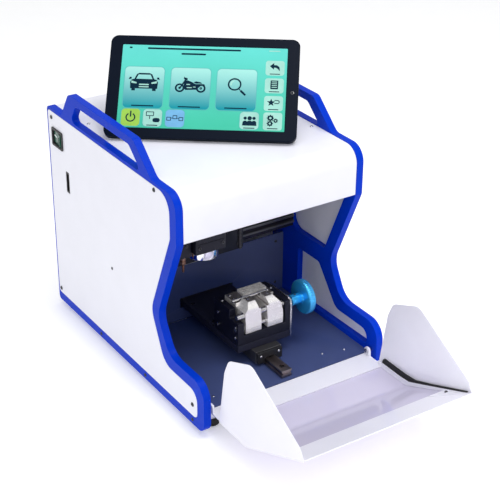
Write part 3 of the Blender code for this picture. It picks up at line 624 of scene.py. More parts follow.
SIDE_PANEL = [
    (16.0, 12.8, 8), (390.4, 12.8, 5), (390.4, 288.6, 5), (72.8, 288.6, 24),
    (72.8, 233.5, 12), (123.0, 116.0, 28), (93.0, 51.5, 26), (16.0, 50.8, 16)]


def side_frame(name, side):
    edits = [prism(fillet(opening), "x", *mirrored(side, FRAME_IN - 5, FRAME_OUT + 5))
             for opening in FRAME_OPENINGS]
    edits.append(prism(grow(SIDE_PANEL, 0.3), "x", *mirrored(side, FRAME_OUT - 1.5, FRAME_OUT + 5)))
    edits.append(rod(2.3, 0, 15, (side, 0, 0), (side * 118, PIN_Y, PIN_Z), 20))
    piece(name + "_plate", prism(fillet(FRAME_OUTLINE, 14), "x",
                                 *mirrored(side, FRAME_IN, FRAME_OUT)),
          "blue_paint", edits=edits, node=name, slot="blue_paint", bevel=1.0, segments=3, angle=40)


side_frame("left_frame", -1)
side_frame("right_frame", 1)

bezel_lo, bezel_hi = cad_box("switch_bezel")
SWITCH_Y, SWITCH_Z = (bezel_lo.y + bezel_hi.y) / 2, (bezel_lo.z + bezel_hi.z) / 2
port_lo, port_hi = cad_box("side_port")
PORT_Y, PORT_Z = (port_lo.y + port_hi.y) / 2, (port_lo.z + port_hi.z) / 2


def side_panel(name, side):
    edits = []
    if side < 0:        # openings for the switch and the port
        edits = [box((-140, -130), about(SWITCH_Y, 13.8), about(SWITCH_Z, 10.8), "x"),
                 box((-140, -130), about(PORT_Y, 4.8), about(PORT_Z, 15.3), "x", 1.5)]
    piece(name + "_sheet",
          prism(fillet(SIDE_PANEL, 10), "x", *mirrored(side, FRAME_OUT - 1.2, FRAME_OUT)),
          "white_paint", edits=edits, node=name, slot="white_paint", bevel=0.25)
    face, normal = side * FRAME_OUT, (side, 0, 0)
    piece(name + "_screws",
          screws([(face, 380, 280), (face, 107, 283.5), (face, 384, 19.7), (face, 26.5, 29)],
                 normal, radius=2.9, height=1.2, kind="hex", turn="y"), "screw_dark")
    bm = screws([(face, 224, 125)], normal, radius=2.1, height=0.7, kind="cross", turn=0.4)
    screws([(face, 265, 5.8), (face, 144, 6.2), (face, 27, 6.6)], normal,
           radius=2.5, height=1.0, kind="hex", turn="y", bm=bm)
    piece(name + "_rim_screws", bm, "screw_dark")


side_panel("left_side_panel", -1)
side_panel("right_side_panel", 1)


def power_switch():
    """Bezel and rocker in the left panel; the rocker is turned about z."""
    x0 = bezel_lo.x
    piece("switch_bezel_frame",
          box((x0, -135.2), about(SWITCH_Y, 15.3), about(SWITCH_Z, 12.8), "x", 2.0),
          "black_plastic", node="switch_bezel", slot="black_plastic", bevel=0.35, edits=[
              box((x0 - 2, x0 + 0.7), about(SWITCH_Y, 13.0), about(SWITCH_Z, 10.0), "x", 1.0),
              joined(box((-136.0, -118.0), about(SWITCH_Y, 13.4), about(SWITCH_Z, 10.4), "x")),
              box((-140.0, -124.0), about(SWITCH_Y, 12.2), about(SWITCH_Z, 9.2), "x")])
    turned = (Matrix.Translation(Vector((-131.5, SWITCH_Y, SWITCH_Z)))
              @ Matrix.Rotation(math.radians(-8.0), 4, "Z"))
    half = 11.0
    curve = [(-3.6 - t * t, half * t) for t in (-1 + 2 * k / 10 for k in range(11))]
    outline = curve + [(-1.5, half - 0.6), (3.0, 4.0), (3.0, -4.0), (-1.5, -half + 0.6)]
    piece("power_rocker_cap", prism(outline, "z", -8.8, 8.8, matrix=turned), "green_plastic",
          "rocker", node="power_rocker", slot="green_plastic", bevel=0.5, segments=3, angle=30)
    # raised bar on the rocker
    piece("power_rocker_marks",
          box((-4.75, -3.9), (1.5, 9.5), (1.2, 2.8), "y", 0.3, matrix=turned),
          "ui_white", "rocker")


power_switch()


def side_port():
    """Deep slot with a row of contacts inside."""
    piece("side_port_body",
          box((-134.9, -123.0), about(PORT_Y, 4.4), about(PORT_Z, 14.9), "x", 1.4),
          "black_plastic", node="side_port", slot="black_plastic", bevel=0.3,
          edits=[box((-140, -129), about(PORT_Y, 2.8), about(PORT_Z, 12.5), "x", 0.8)])
    bm = bmesh.new()
    for k in range(9):
        box((-131.5, -128.7), (PORT_Y - 0.5, PORT_Y + 1.2), about(PORT_Z - 10 + 2.5 * k, 0.5),
            "x", 0.15, bm)
    piece("side_port_contacts", bm, "brass")


side_port()


# --------------------------------------------------------- hood, rear panel and base
def hood():
    radius = 22
    crown = []
    for i in range(21):
        t = math.radians(90 + 90 * i / 20)
        crown.append((HEAD_Y + 22.5 + radius * math.cos(t), 270.9 + radius * math.sin(t)))
    line = [(386.5, 292.9)] + crown
    line += soft_bend((HEAD_Y + 0.5, LIP_Z), (0, -1), (1, 0), 1.8, 6)
    line.append((HEAD_Y + 11.5, LIP_Z))
    piece("top_hood_sheet", prism(bent_sheet(line, -1.5), "x", -INSIDE_X, INSIDE_X),
          "white_paint", node="top_hood", slot="white_paint", bevel=0.3)
    places = ((-116.5, 147), (118, 146), (-118, 305), (118, 305), (-116.5, 250), (116.5, 250))
    piece("hood_screws", screws([(x, y, 292.9) for x, y in places], "z", radius=2.3,
                                height=1.0, kind="hex", turn="x", twist=0.3), "screw_steel")


def rear_panel():
    """Sheet with the inlet opening and a stack of vents."""
    y0, y1 = (corner.y for corner in cad_box("rear_panel"))
    edits = [box((-104, -76), (380, 395), (49, 71), "y")]
    for k in range(6):
        edits.append(box((20, 90), (380, 395), (200 + 11 * k, 205 + 11 * k), "y", 2.4))
    piece("rear_panel_sheet", box((-INSIDE_X, INSIDE_X), (y0, y1), (5.5, 292.0), "y"),
          "white_paint", edits=edits, node="rear_panel", slot="white_paint", bevel=0.25)
    piece("rear_panel_screws",
          screws([(x, y1, z) for z in (14, 284, 150) for x in (-116, 116)], "y",
                 radius=2.4, height=1.1, kind="hex", turn="x"), "screw_steel")


def base():
    """Base plate with a front flange and the motor bracket, on four rubber feet."""
    wide = (-INSIDE_X, INSIDE_X)
    piece("base_plate_sheet", box(wide, (20.0, 386.5), (2.5, 5.0), "z", 1.0), "white_paint",
          node="base_plate", slot="white_paint", bevel=0.25, edits=[
              joined(box(wide, (20.0, 22.0), (2.5, 18.0), "x")),
              joined(box((-26, 26), (333.4, 336.7), (2.5, 90.0))),
              rod(6.0, 320, 345, "y", (0, 0, Y_SCREW_Z), 24)])
    for place in ("front_left", "front_right", "rear_left", "rear_right"):
        node = "foot_" + place
        lo, hi = cad_box(node)
        z = lo.z
        profile = [(6.5, z + 0.8), (8.5, z), (9.4, z + 0.5), (10.2, z + 1.8), (10.35, z + 3.4),
                   (10.0, z + 3.7), (10.0, z + 4.3), (10.5, z + 4.6), (10.8, 1.2), (10.4, 2.2)]
        piece(node + "_rubber",
              lathe(profile, "z", ((lo.x + hi.x) / 2, (lo.y + hi.y) / 2, 0), 40),
              "black_rubber", node=node, slot="black_rubber", angle=50)


def chamber():
    """Navy floor with a tongue to the rear, and the wall behind it."""
    wide = (-INSIDE_X, INSIDE_X)
    level = (FLOOR_Z - 2, FLOOR_Z)
    piece("chamber_floor_sheet", box(wide, (16.0, 212.7), level), "navy_paint",
          node="chamber_floor", slot="navy_paint", bevel=0.3,
          edits=[joined(box((-30, 30), (200, 312), level))])
    places = ((70, 42), (100, 35), (-70, 42), (-100, 35), (100, 190), (-100, 190))
    piece("floor_screws", screws([(x, y, FLOOR_Z) for x, y in places], "z", radius=1.7,
                                 height=0.6, kind="cross", turn="x"), "screw_steel")
    wall_top = cad_box("chamber_back_wall")[1].z
    piece("chamber_wall_sheet",
          box(wide, (213.0, 215.0), (FLOOR_Z + 0.3, wall_top), "y", 1.0), "navy_paint",
          node="chamber_back_wall", slot="navy_paint", bevel=0.3, edits=[
              box((-41.5, 41.5), (205, 225), (41.5, 56.5), "y", 1.0),
              box((-22, 22), (205, 225), (10, 48), "y")])
    piece("wall_screws",
          screws([(x, 213.0, z) for z in (100, 36) for x in (-112, 112)], "-y",
                 radius=2.0, height=0.8, kind="cross", turn="x"), "screw_dark")


hood()
rear_panel()
base()
chamber()

# ---------------------------------------------------------------------------- door
# The sheet runs level forward from the hinge, then climbs to its front lip.
CHEEK_X = 120.2                     # inner face of a cheek
SHEET_Z, BEND_Y = 22.2, -71.0       # level part and the place of the bend
RUN, CLIMB = 113.0, 50.1            # of the sloping part
SLOPE = Vector((-RUN, CLIMB)).normalized()      # y, z of its direction


def slope_z(y):
    return SHEET_Z + (BEND_Y - y) * (CLIMB / RUN)


# side outlines: y, z, corner radius
CHEEK = [
    (-12.0, 20.4, 1.5), (-24.0, 98.0, 16), (-33.0, 118.5, 15), (-80.0, 138.0, 16),
    (-176.6, 84.5, 3), (-184.6, 72.5, 1.0), (-184.2, 70.4, 0.5), (-71.0, 20.0, 26)]
SEAL = [
    (-20.0, 22.6, 0.3), (-71.2, 22.6, 22), (-178.0, slope_z(-178.0) + 0.4, 0.2),
    (-178.0, slope_z(-178.0) + 2.2, 0.8), (-112.0, slope_z(-112.0) + 5.0, 20),
    (-86.0, slope_z(-86.0) + 7.0, 8), (-66.0, 34.0, 8), (-24.0, 34.5, 3)]
FLANGE = [
    (-14.0, 21.2, 0.3), (-71.2, 21.2, 22), (-176.0, slope_z(-176.0) - 1.0, 0.2),
    (-176.0, slope_z(-176.0) + 0.8, 0.5), (-100.0, slope_z(-100.0) + 3.2, 14),
    (-76.0, 28.6, 12), (-58.0, 27.4, 12), (-14.0, 28.0, 3)]
HINGE_EAR = [(4.0, 21.4, 0), (14.5, 21.4, 0), (15.0, 33.5, 4.5), (5.0, 33.5, 4.5)]
# y, z of the opening behind the window
DOOR_OPENING = [(-22.0, 10.0), (-22.0, 60.0), (-140.0, 90.0), (-140.0, 30.0), (-80.0, 10.0)]


def door_sheets():
    line = [(14.5, SHEET_Z)] + soft_bend((BEND_Y, SHEET_Z), (-1, 0), SLOPE, 24.0, 24)
    line.append((BEND_Y - RUN, SHEET_Z + CLIMB))
    edits = [prism(DOOR_OPENING, "x", -116.0, 116.0)]
    for side in (-1, 1):
        edits.append(joined(prism(fillet(HINGE_EAR), "x", *mirrored(side, 117.4, CHEEK_X - 0.3))))
    edits.append(rod(2.3, -130, 130, "x", (0, PIN_Y, PIN_Z), 20))
    piece("door_panel_sheet", prism(bent_sheet(line, -1.2), "x", -CHEEK_X + 0.3, CHEEK_X - 0.3),
          "door_paint", "door", edits, node="door_panel", slot="white_paint", bevel=0.3)

    bend_y, level, front = -71.3, 20.7, -150.0
    line = [(-16.0, level)] + soft_bend((bend_y, level), (-1, 0), SLOPE, 25.5, 24)
    line.append((front, level + (bend_y - front) * (CLIMB / RUN)))
    piece("door_window_sheet", prism(bent_sheet(line, -2.0), "x", -119.0, 119.0),
          "clear_window", "door", node="door_window", slot="clear_window", bevel=0.3)


def door_side(name, side):
    """Cheek, seal, flange, corner tab with its screw, and hinge pin."""
    piece(f"door_cheek_{name}_sheet",
          prism(fillet(CHEEK, 10), "x", *mirrored(side, CHEEK_X, CHEEK_X + 1.2)),
          "door_paint", "door", node="door_cheek_" + name, slot="white_paint",
          bevel=0.35, segments=3)
    piece(f"door_seal_{name}_strip",
          prism(fillet(SEAL, 6), "x", *mirrored(side, 117.6, CHEEK_X - 0.3)),
          "black_rubber", "door", node="door_seal_" + name, slot="black_rubber", bevel=0.5)
    piece("door_flange_" + name, prism(fillet(FLANGE, 6), "x", *mirrored(side, 116.4, 117.3)),
          "door_paint", "door", bevel=0.2)

    # on the sloping sheet: x, y as in the machine, third axis square to the sheet
    out = Vector((0, -SLOPE.y, -SLOPE.x))
    on_slope = placing((1, 0, 0), (0, 1, -CLIMB / RUN), out, (0, 0, slope_z(0)))
    tab_top = 0.95
    corner = [(side * 118.8, -141.0), (side * 90.0, -141.0), (side * 118.8, -182.5)]
    piece("door_tab_" + name, prism(corner, "z", 0.02, tab_top, matrix=on_slope),
          "door_paint", "door", bevel=0.25)
    head = on_slope @ Vector((side * 110.5, -151.0, tab_top))
    piece("door_tab_screw_" + name,
          screws([head], out, radius=2.3, height=1.0, kind="cross", turn=0.5),
          "screw_dark", "door")

    axis = (side, 0, 0)
    bm = lathe([(1.5, 0), (2.0, 0.4), (2.0, 14.8), (1.6, 15.3)], axis,
               (side * 115.8, PIN_Y, PIN_Z), 24)
    lathe([(2.0, 0.0), (3.4, 0.0), (3.4, 1.2), (2.0, 1.2)], axis,
          (side * 116.0, PIN_Y, PIN_Z), 24, bm, hollow=True)
    piece(f"hinge_pin_{name}_rod", bm, "screw_steel", node="hinge_pin_" + name,
          slot="bright_steel")


door_sheets()
door_side("left", -1)
door_side("right", 1)

# ------------------------------------------------------------- y rail and its carriage
BOLT_YS = [33.0 + 28.0 * k for k in range(10)]
# x, z section of the gap that clears the rail
RAIL_GAP = [
    (-7.9, 20), (7.9, 20), (7.9, 27.2), (6.4, 28.4), (6.4, 29.8), (7.9, 31.0), (7.9, 34.0),
    (-7.9, 34.0), (-7.9, 31.0), (-6.4, 29.8), (-6.4, 28.4), (-7.9, 27.2)]


def y_rail():
    z0, z1 = (corner.z for corner in cad_box("y_rail"))
    section = [(-7.5, z0), (7.5, z0), (7.5, 27.0), (6.0, 28.2), (6.0, 30.0), (7.5, 31.2),
               (7.5, z1), (-7.5, z1), (-7.5, 31.2), (-6.0, 30.0), (-6.0, 28.2), (-7.5, 27.0)]
    piece("y_rail_bar", prism(section, "y", 21.5, 308.0), "rail_steel",
          edits=[rod(3.4, 29.5, 36, "z", (0, y, 0), 24) for y in BOLT_YS],
          node="y_rail", slot="bright_steel", bevel=0.3)
    bm = bmesh.new()
    for k, y in enumerate(BOLT_YS):
        screw(bm, (0, y, 29.6), "z", radius=2.9, height=2.2, kind="cap", turn=k)
    piece("y_rail_bolts", bm, "screw_dark")


def carriage():
    """Bearing block with end caps, and the plate above it."""
    piece("y_block_body", box((-19.5, 19.5), (63.0, 114.0), (27.0, 43.7), "y", 1.2),
          "block_steel", "clamp_carriage", [prism(RAIL_GAP, "y", 50, 130)],
          node="y_bearing_block", slot="bright_steel", bevel=0.4)
    for end, span in (("front", (59.0, 62.9)), ("rear", (114.1, 118.0))):
        piece("y_block_cap_" + end, box((-18.6, 18.6), span, (27.3, 42.9), "y", 1.6),
              "black_plastic", "clamp_carriage", [prism(RAIL_GAP, "y", 50, 130)], bevel=0.4)
    piece("y_block_screws",
          screws([(x, 59.0, 37.5) for x in (-13.5, 13.5)], "-y",
                 radius=1.9, height=0.8, kind="cross", turn="x"),
          "screw_steel", "clamp_carriage")

    places = [(x, y) for x in (-32, 32) for y in (142, 196)]
    edits = [joined(box((-12, 12), (240, 250), (50.0, 78.0))),
             rod(4.5, 230, 260, "y", (0, 0, Y_SCREW_Z), 24)]
    edits += [rod(3.2, 50.5, 60, "z", (x, y, 0), 24) for x, y in places]
    piece("carriage_plate_body", box((-39.5, 39.5), (73.0, 250.0), (44.0, 54.0), "z", 1.5),
          "carriage_black_lit", "clamp_carriage", edits,
          node="carriage_plate", slot="black_anodised", bevel=0.6)
    piece("carriage_screws",
          screws([(x, y, 50.6) for x, y in places], "z",
                 radius=2.6, height=2.0, kind="cap", turn="x"),
          "screw_dark", "clamp_carriage")


# --------------------------------------------------------------------------- clamp
def screw_bore(lo, hi):
    return rod(4.4, lo, hi, "x", CLAMP_AXIS, 24)


def guide_bore():
    return rod(3.3, -60, 60, "x", GUIDE_AXIS, 20)


def clamp():
    """Open block, end plate on its right, guide rod and key stop."""
    notch = fillet([(60, 85.5, 0), (93, 85.5, 2), (93, 110, 0), (60, 110, 0)], 5)
    piece("clamp_body_block", box((-39.5, 39.5), (73.0, 131.0), (54.3, 98.0), "z", 1.0),
          "black_anodised", "clamp_carriage",
          [box((-30.5, 31.8), (60, 140), (67.0, 120.0), "y", 1.0),
           prism(notch, "x", -60, -25), guide_bore(), screw_bore(20, 60)],
          node="clamp_body", slot="black_anodised", bevel=0.8, segments=3)
    plate = [(73.0, 44.0, 0.5), (131.0, 44.0, 0.5), (131.0, 97.0, 6), (73.0, 100.0, 11)]
    piece("clamp_end_plate_sheet", prism(fillet(plate), "x", 39.8, 42.6),
          "bright_steel", "clamp_carriage", [screw_bore(30, 60)],
          node="clamp_end_plate", slot="bright_steel", bevel=0.4)

    bm = screws([(42.6, 92, 60), (42.6, 122, 60), (42.6, 122, 88)], "x",
                radius=2.4, height=1.3, kind="cap", turn="y")
    screws([(-39.5, y, z) for y, z in ((79, 78.5), (79, 64.0), (120, 64.0), (120, 82))], "-x",
           radius=2.2, height=1.2, kind="cap", turn="z", bm=bm)
    screws([(35.6, 112, 98.0), (-35.0, 118, 98.0)], "z",
           radius=1.9, height=0.9, kind="hex", turn="x", bm=bm)
    piece("clamp_screws_outer", bm, "screw_steel", "clamp_carriage")

    piece("guide_rod_bar",
          lathe([(2.6, -39.0), (3.0, -38.6), (3.0, 38.8), (2.6, 39.2)], "x", GUIDE_AXIS, 28),
          "bright_steel", "clamp_carriage", node="guide_rod", slot="bright_steel")
    stop = (0, 101.5, 103.4)
    bm = lathe([(1.3, -30.5), (1.9, -29.9), (1.9, 23.4), (1.3, 24.0)], "x", stop, 28)
    lathe([(1.9, -24.6), (2.25, -24.4), (2.25, -22.6), (1.9, -22.4)], "x", stop, 28, bm,
          hollow=True)
    piece("key_stop_rod", bm, "bright_steel", "clamp_carriage", node="key_stop_bar",
          slot="bright_steel")


y_rail()
carriage()
clamp()

# side outline of both jaws: y, z, corner radius
JAW = [
    (74.4, 67.5, 0.3), (124.5, 67.5, 0.3), (124.5, 101.0, 0.8), (97.8, 101.0, 0.5),
    (97.8, 106.2, 0.3), (85.5, 106.2, 1.2), (76.8, 100.5, 2.0), (74.4, 81.5, 2.0)]
# upward faces centred between these world heights, in metres, keep the jaw's own steel, without the
# painted shade
PLAIN_BAND = (0.1136, 0.11405)


def left_jaw_edits():
    """Bevel along the outer top edge."""
    return [prism([(-29.0, 93.7), (-17.0, 106.5), (-17.0, 112.0), (-29.0, 112.0)],
                  "y", 60.0, 97.8)]


def right_jaw_edits():
    """Bevel along the outer top edge, and a grooved pad that reaches over the left jaw."""
    slope = [(29.9, 84.0), (27.2, 97.0), (19.5, 106.5), (19.5, 112.0), (34.0, 112.0),
             (34.0, 84.0)]
    edits = [prism(slope, "y", 60.0, 97.8),
             joined(box((9.5, 25.0), (106.5, 121.0), (99.0, 103.0), "z", 0.6)),
             joined(box((-11.0, 25.0), (106.5, 121.0), (101.6, 105.8), "z", 0.6))]
    for y in (109.2, 113.4, 117.6):
        groove = [(y - 1.0, 106.2), (y + 1.0, 106.2), (y + 0.8, 104.4), (y - 0.8, 104.4)]
        edits.append(prism(groove, "x", -20, 22.5))
    return edits


def jaw(name, span, step_span, inner, inward, extra_edits):
    """One jaw: span and step_span in x, inner face and the direction it looks along x."""
    x0, x1 = span
    edits = [box(step_span, (66, 130), (98.2, 112), "x")] + extra_edits
    edits += [screw_bore(-60, 60), guide_bore()]
    for k in range(6):      # gripping grooves on the inner face
        z = 96.0 - 1.9 * k
        groove = [(inner + inward * 0.6, z - 0.45), (inner - inward * 0.35, z),
                  (inner + inward * 0.6, z + 0.45)]
        edits.append(prism(groove, "y", 88.0, 130.0))
    for z0, z1 in ((86.4, 86.9), (73.4, 73.8)):     # fine lines across the front
        edits.append(box((x0 - 1, x1 + 1), (60, 74.75), (z0, z1), "x"))
    ob = make(f"jaw_{name}_block", prism(fillet(JAW, 3), "x", x0, x1), "jaw_steel", edits)
    # upward faces take a darker copy of the steel: painted shade
    ob.data.materials.append(MATERIALS["jaw_top_shade"])
    for face in ob.data.polygons:
        if face.normal.z > 0.9 and not PLAIN_BAND[0] < face.center.z < PLAIN_BAND[1]:
            face.material_index = 1
    finish(ob, name + "_jaw", node="jaw_" + name, slot="bright_steel", bevel=0.45, angle=28)

    bm = screws([((x0 + x1) / 2 + inward * 2.0, 92.0, 106.2)], "z",
                radius=2.3, height=0.35, kind="hex", turn=0.2)
    if name == "left":
        screws([(-22.8, 109.0, 101.0), (-22.8, 119.0, 101.0)], "z",
               radius=1.8, height=0.8, kind="cross", turn="y", bm=bm)
    piece(f"jaw_{name}_screws", bm, "screw_steel", name + "_jaw")


jaw("left", (-27.0, -3.5), (-6.5, 0.0), -3.5, 1, left_jaw_edits())
jaw("right", (6.0, 29.5), (0.0, 9.0), 6.0, -1, right_jaw_edits())


def clamp_drive():
    """Clamp screw and the knurled knob on its right end."""
    bm = lathe(thread(4.0, 0.45, -37.0, 45.0, 1.5), "x", CLAMP_AXIS, 32)
    lathe([(3.4, 44.6), (4.0, 44.8), (4.0, 60.2), (3.6, 60.5)], "x", CLAMP_AXIS, 32, bm)
    piece("clamp_screw_thread", bm, "bright_steel", "clamp_drive", node="clamp_screw",
          slot="bright_steel")

    def knurl(theta, i, radius):
        if 6 <= i <= 9:
            return radius - 0.55 * (0.5 + 0.5 * math.cos(theta * 48))
        return radius

    profile = [
        (4.3, 45.0), (6.6, 45.0), (7.2, 45.6), (7.2, 58.8), (8.6, 60.2), (20.4, 60.6),
        (22.4, 61.4), (23.0, 62.4), (23.0, 68.8), (22.4, 69.8), (20.8, 70.2), (18.5, 70.0),
        (17.5, 69.2), (9.0, 68.8), (8.0, 69.6), (5.0, 69.8), (4.0, 68.5)]
    piece("clamp_knob_wheel", lathe(profile, "x", CLAMP_AXIS, 192, shape=knurl),
          "blue_anodised", "clamp_drive", node="clamp_knob", slot="blue_anodised", angle=40)
    y, z = CLAMP_AXIS[1:]
    bm = screws([(70.0, y, z)], "x", radius=3.6, height=0.2, kind="hex", turn=0.2)
    screws([(52.0, y, z + 7.1)], "z", radius=1.6, height=0.5, kind="hex", turn=0.2, bm=bm)
    piece("clamp_knob_screw", bm, "screw_dark", "clamp_drive")


clamp_drive()


# ---------------------------------------------------------- motors and lead screws
def motor(name, axis, lo, hi, section, body, corner, cap):
    """Square motor: two end caps and a laminated middle.
    section holds the two spans across the axis, corner their radius, cap its thickness."""
    (u0, u1), (v0, v1) = section

    def slab(start, end, inset, bm):
        outline = rect(u0 + inset, u1 - inset, v0 + inset, v1 - inset, corner)
        return prism(outline, axis, start, end, bm)

    bm = slab(lo, lo + cap, 0.0, None)
    slab(hi - cap, hi, 0.0, bm)
    piece(name + "_caps", bm, "zinc_plate", body, bevel=0.4)
    bm = bmesh.new()
    plates = 9
    start, length = lo + cap + 0.02, hi - lo - 2 * cap - 0.04
    for k in range(plates):
        slab(start + length * k / plates, start + length * (k + 0.86) / plates, 0.5, bm)
    slab(lo + 1, hi - 1, 1.2, bm)
    piece(name + "_core", bm, "black_plastic", body, node=name, slot="black_plastic")


motor("y_motor", "y", 337.0, 373.0, ((-21, 21), (45.0, 87.0)), "machine", corner=4.0, cap=8.0)
motor("x_motor", "x", -124.4, -97.0, ((168.2, 189.5), (155.5, 176.5)), "machine",
      corner=2.0, cap=5.0)
motor("z_motor", "z", 251.3, 281.0, ((-5, 23), (131.0, 159.5)), "x_head", corner=2.5, cap=6.0)

# axis, radius, start and end from the centre, centre, material
LEAD_SCREWS = [
    ("y", 4.0, -58.0, 56.7, (0, 280, Y_SCREW_Z), "bright_steel"),
    ("x", 3.0, -96.7, 121.0, X_SCREW, "block_steel"),
    ("z", 3.0, -51.0, 51.0, (*Z_SCREW, 200), "block_steel")]
for axis, radius, start, end, centre, material in LEAD_SCREWS:
    piece(axis + "_lead_screw_thread",
          lathe(thread(radius, 0.4, start, end, 2.0), axis, centre, 24), material,
          axis + "_screw", node=axis + "_lead_screw", slot="bright_steel")


# --------------------------------------------------------------- gantry and x head
def gantry():
    piece("x_beam_bar",
          box((-INSIDE_X, INSIDE_X), (190.0, 208.0), (131.0, 180.0), "x", 1.0),
          "black_anodised", node="x_beam", slot="black_anodised", bevel=0.5,
          edits=[box((-130, 130), (185.0, 191.5), about(z, 2.2), "x") for z in (158.5, 168.5)])
    section = [(189.7, 139.0), (189.7, 151.0), (184.0, 151.0), (184.0, 148.4),
               (186.2, 146.6), (186.2, 143.4), (184.0, 141.6), (184.0, 139.0)]     # y, z
    piece("x_rail_bar", prism(section, "x", -92.0, 122.0), "block_steel",
          node="x_rail", slot="bright_steel", bevel=0.25)


def x_head():
    piece("x_block_body", box((-62, -14), (166.3, 188.6), (134.5, 173.0), "z", 1.0),
          "zinc_plate", "x_head",
          [box((-80, 0), (183.6, 200), (138.6, 151.4), "x"), rod(3.4, -80, 0, "x", X_SCREW, 20)],
          node="x_bearing_block", slot="zinc_plate", bevel=0.4)
    piece("x_slide_plate_body", box((-100, 24), (160.0, 166.0), (139.0, 283.0), "y", 3.0),
          "black_anodised", "x_head",
          [joined(box((-6, 24), (130.0, 161.0), (248.0, 251.0))),
           rod(4.0, 240, 260, "z", (*Z_SCREW, 0), 24)],
          node="x_slide_plate", slot="black_anodised", bevel=0.5)
    bm = screws([(x, 160.0, z) for x in (-92, 16) for z in (147, 200, 240)], "-y",
                radius=2.4, height=1.3, kind="cap", turn="z")
    screws([(x, 160.0, 142.5) for x in (-46, -30)], "-y",
           radius=1.9, height=1.0, kind="cap", turn="x", bm=bm)
    piece("x_slide_screws", bm, "screw_dark", "x_head")
    section = [(-56.0, 159.7), (-42.0, 159.7), (-42.0, 155.0), (-44.0, 155.0),
               (-45.2, 156.6), (-52.8, 156.6), (-54.0, 155.0), (-56.0, 155.0)]     # x, y
    piece("z_rail_bar", prism(section, "z", 146.0, 246.0), "rail_steel", "x_head",
          node="z_rail", slot="bright_steel", bevel=0.2)


# -------------------------------------------------------------- z head and spindle
def z_head():
    """Head plate with its nut and tracer arm, spindle housing, nose, motor and tracer."""
    piece("head_plate_body", box((-97, -8), (146.0, 158.5), (179.0, 244.0), "y", 2.5),
          "black_anodised", "z_head",
          [box((-56.4, -41.6), (154.6, 170), (170, 250)),
           joined(box((-14, 17), (138.0, 152.0), (202.0, 214.0))),
           joined(box((-96, -78.6), (118.0, 150.0), (174.0, 206.0), "z", 1.5)),
           rod(3.4, 190, 220, "z", (*Z_SCREW, 0), 20)],
          node="head_plate", slot="black_anodised", bevel=0.5)

    edits = [rod(9.5, 160, 240, "z", SPINDLE, 40)]
    for k in range(4):      # shallow lines across the front
        edits.append(box((-85, -20), (100.0, 109.7), (192.0 + 9 * k, 193.0 + 9 * k)))
    piece("spindle_housing_block", box((-78, -33.5), (109.0, 145.7), (178.5, 232.0), "z", 4.0),
          "black_anodised", "z_head", edits,
          node="spindle_housing", slot="black_anodised", bevel=0.7, segments=3)
    bm = screws([(x, 109.0, z) for x in (-72.5, -39.0) for z in (187, 226)], "-y",
                radius=2.2, height=1.2, kind="cap", turn="z")
    screws([(-86, 118.0, 190)], "-y", radius=2.0, height=1.1, kind="cap", turn=0.3, bm=bm)
    piece("spindle_housing_screws", bm, "screw_dark", "z_head")

    nose = [(9.5, 165.2), (11.0, 164.5), (16.6, 164.5), (18.0, 164.9), (19.6, 166.2),
            (20.0, 167.2), (20.0, 177.8), (19.7, 178.2), (9.5, 178.2)]
    piece("spindle_nose_ring", lathe(nose, "z", SPINDLE, 72, hollow=True), "polished_ring",
          "z_head", node="spindle_nose", slot="bright_steel", angle=30)

    def fins(theta, i, radius):
        return radius - (0.5 if i in (3, 4) and math.cos(theta * 24) > 0 else 0.0)

    can = [(14.6, 232.3), (15.2, 232.9), (15.2, 240), (15.2, 241), (15.2, 262), (15.2, 263),
           (15.2, 272.4), (13.5, 275.0)]
    piece("spindle_motor_can", lathe(can, "z", SPINDLE, 96, shape=fins), "black_plastic",
          "z_head", node="spindle_motor", slot="black_plastic", angle=30)
    probe = [(0.9, 150.0), (1.6, 151.6), (1.6, 160.0), (3.4, 162.0), (3.6, 162.6),
             (3.6, 166.0), (3.2, 166.4), (3.2, 167.2), (3.6, 167.6), (3.6, 173.2), (3.3, 173.7)]
    piece("tracer_probe_rod", lathe(probe, "z", (-86.0, 127.0, 0), 32), "brass", "z_head",
          node="tracer_probe", slot="brass")


def spindle():
    """Shaft with a flattened collet, and the fluted cutter."""
    def collet(theta, i, radius):
        if 3 <= i <= 5:
            return max(radius * 0.86, min(radius, hex_radius(theta, radius * 0.9)))
        return radius

    shaft = [(3.6, 163.2), (5.0, 163.4), (5.0, 164.6), (8.4, 165.8), (9.0, 166.8),
             (9.0, 172.0), (9.0, 176.0), (9.0, 231.0), (8.5, 231.8)]
    piece("spindle_shaft_bar", lathe(shaft, "z", SPINDLE, 48, shape=collet), "bright_steel",
          "spindle", node="spindle_shaft", slot="bright_steel")

    def flute(theta, i, radius):
        if 1 <= i <= 9:
            return radius * (0.80 + 0.20 * max(0.0, math.cos(2 * (theta - 0.35 * i))))
        if i in (13, 14):
            return min(radius, hex_radius(theta, radius * 0.92))
        return radius

    cutter = [(0.5, 158.4)] + [(1.6, 158.6 + 0.22 * k) for k in range(9)]
    cutter += [(1.6, 160.5), (1.8, 160.7), (3.0, 161.0), (4.4, 161.2), (4.5, 162.6),
               (4.0, 162.9)]
    piece("cutter_bit", lathe(cutter, "z", SPINDLE, 48, shape=flute), "zinc_plate", "spindle",
          node="cutter", slot="zinc_plate")


gantry()
x_head()
z_head()
spindle()


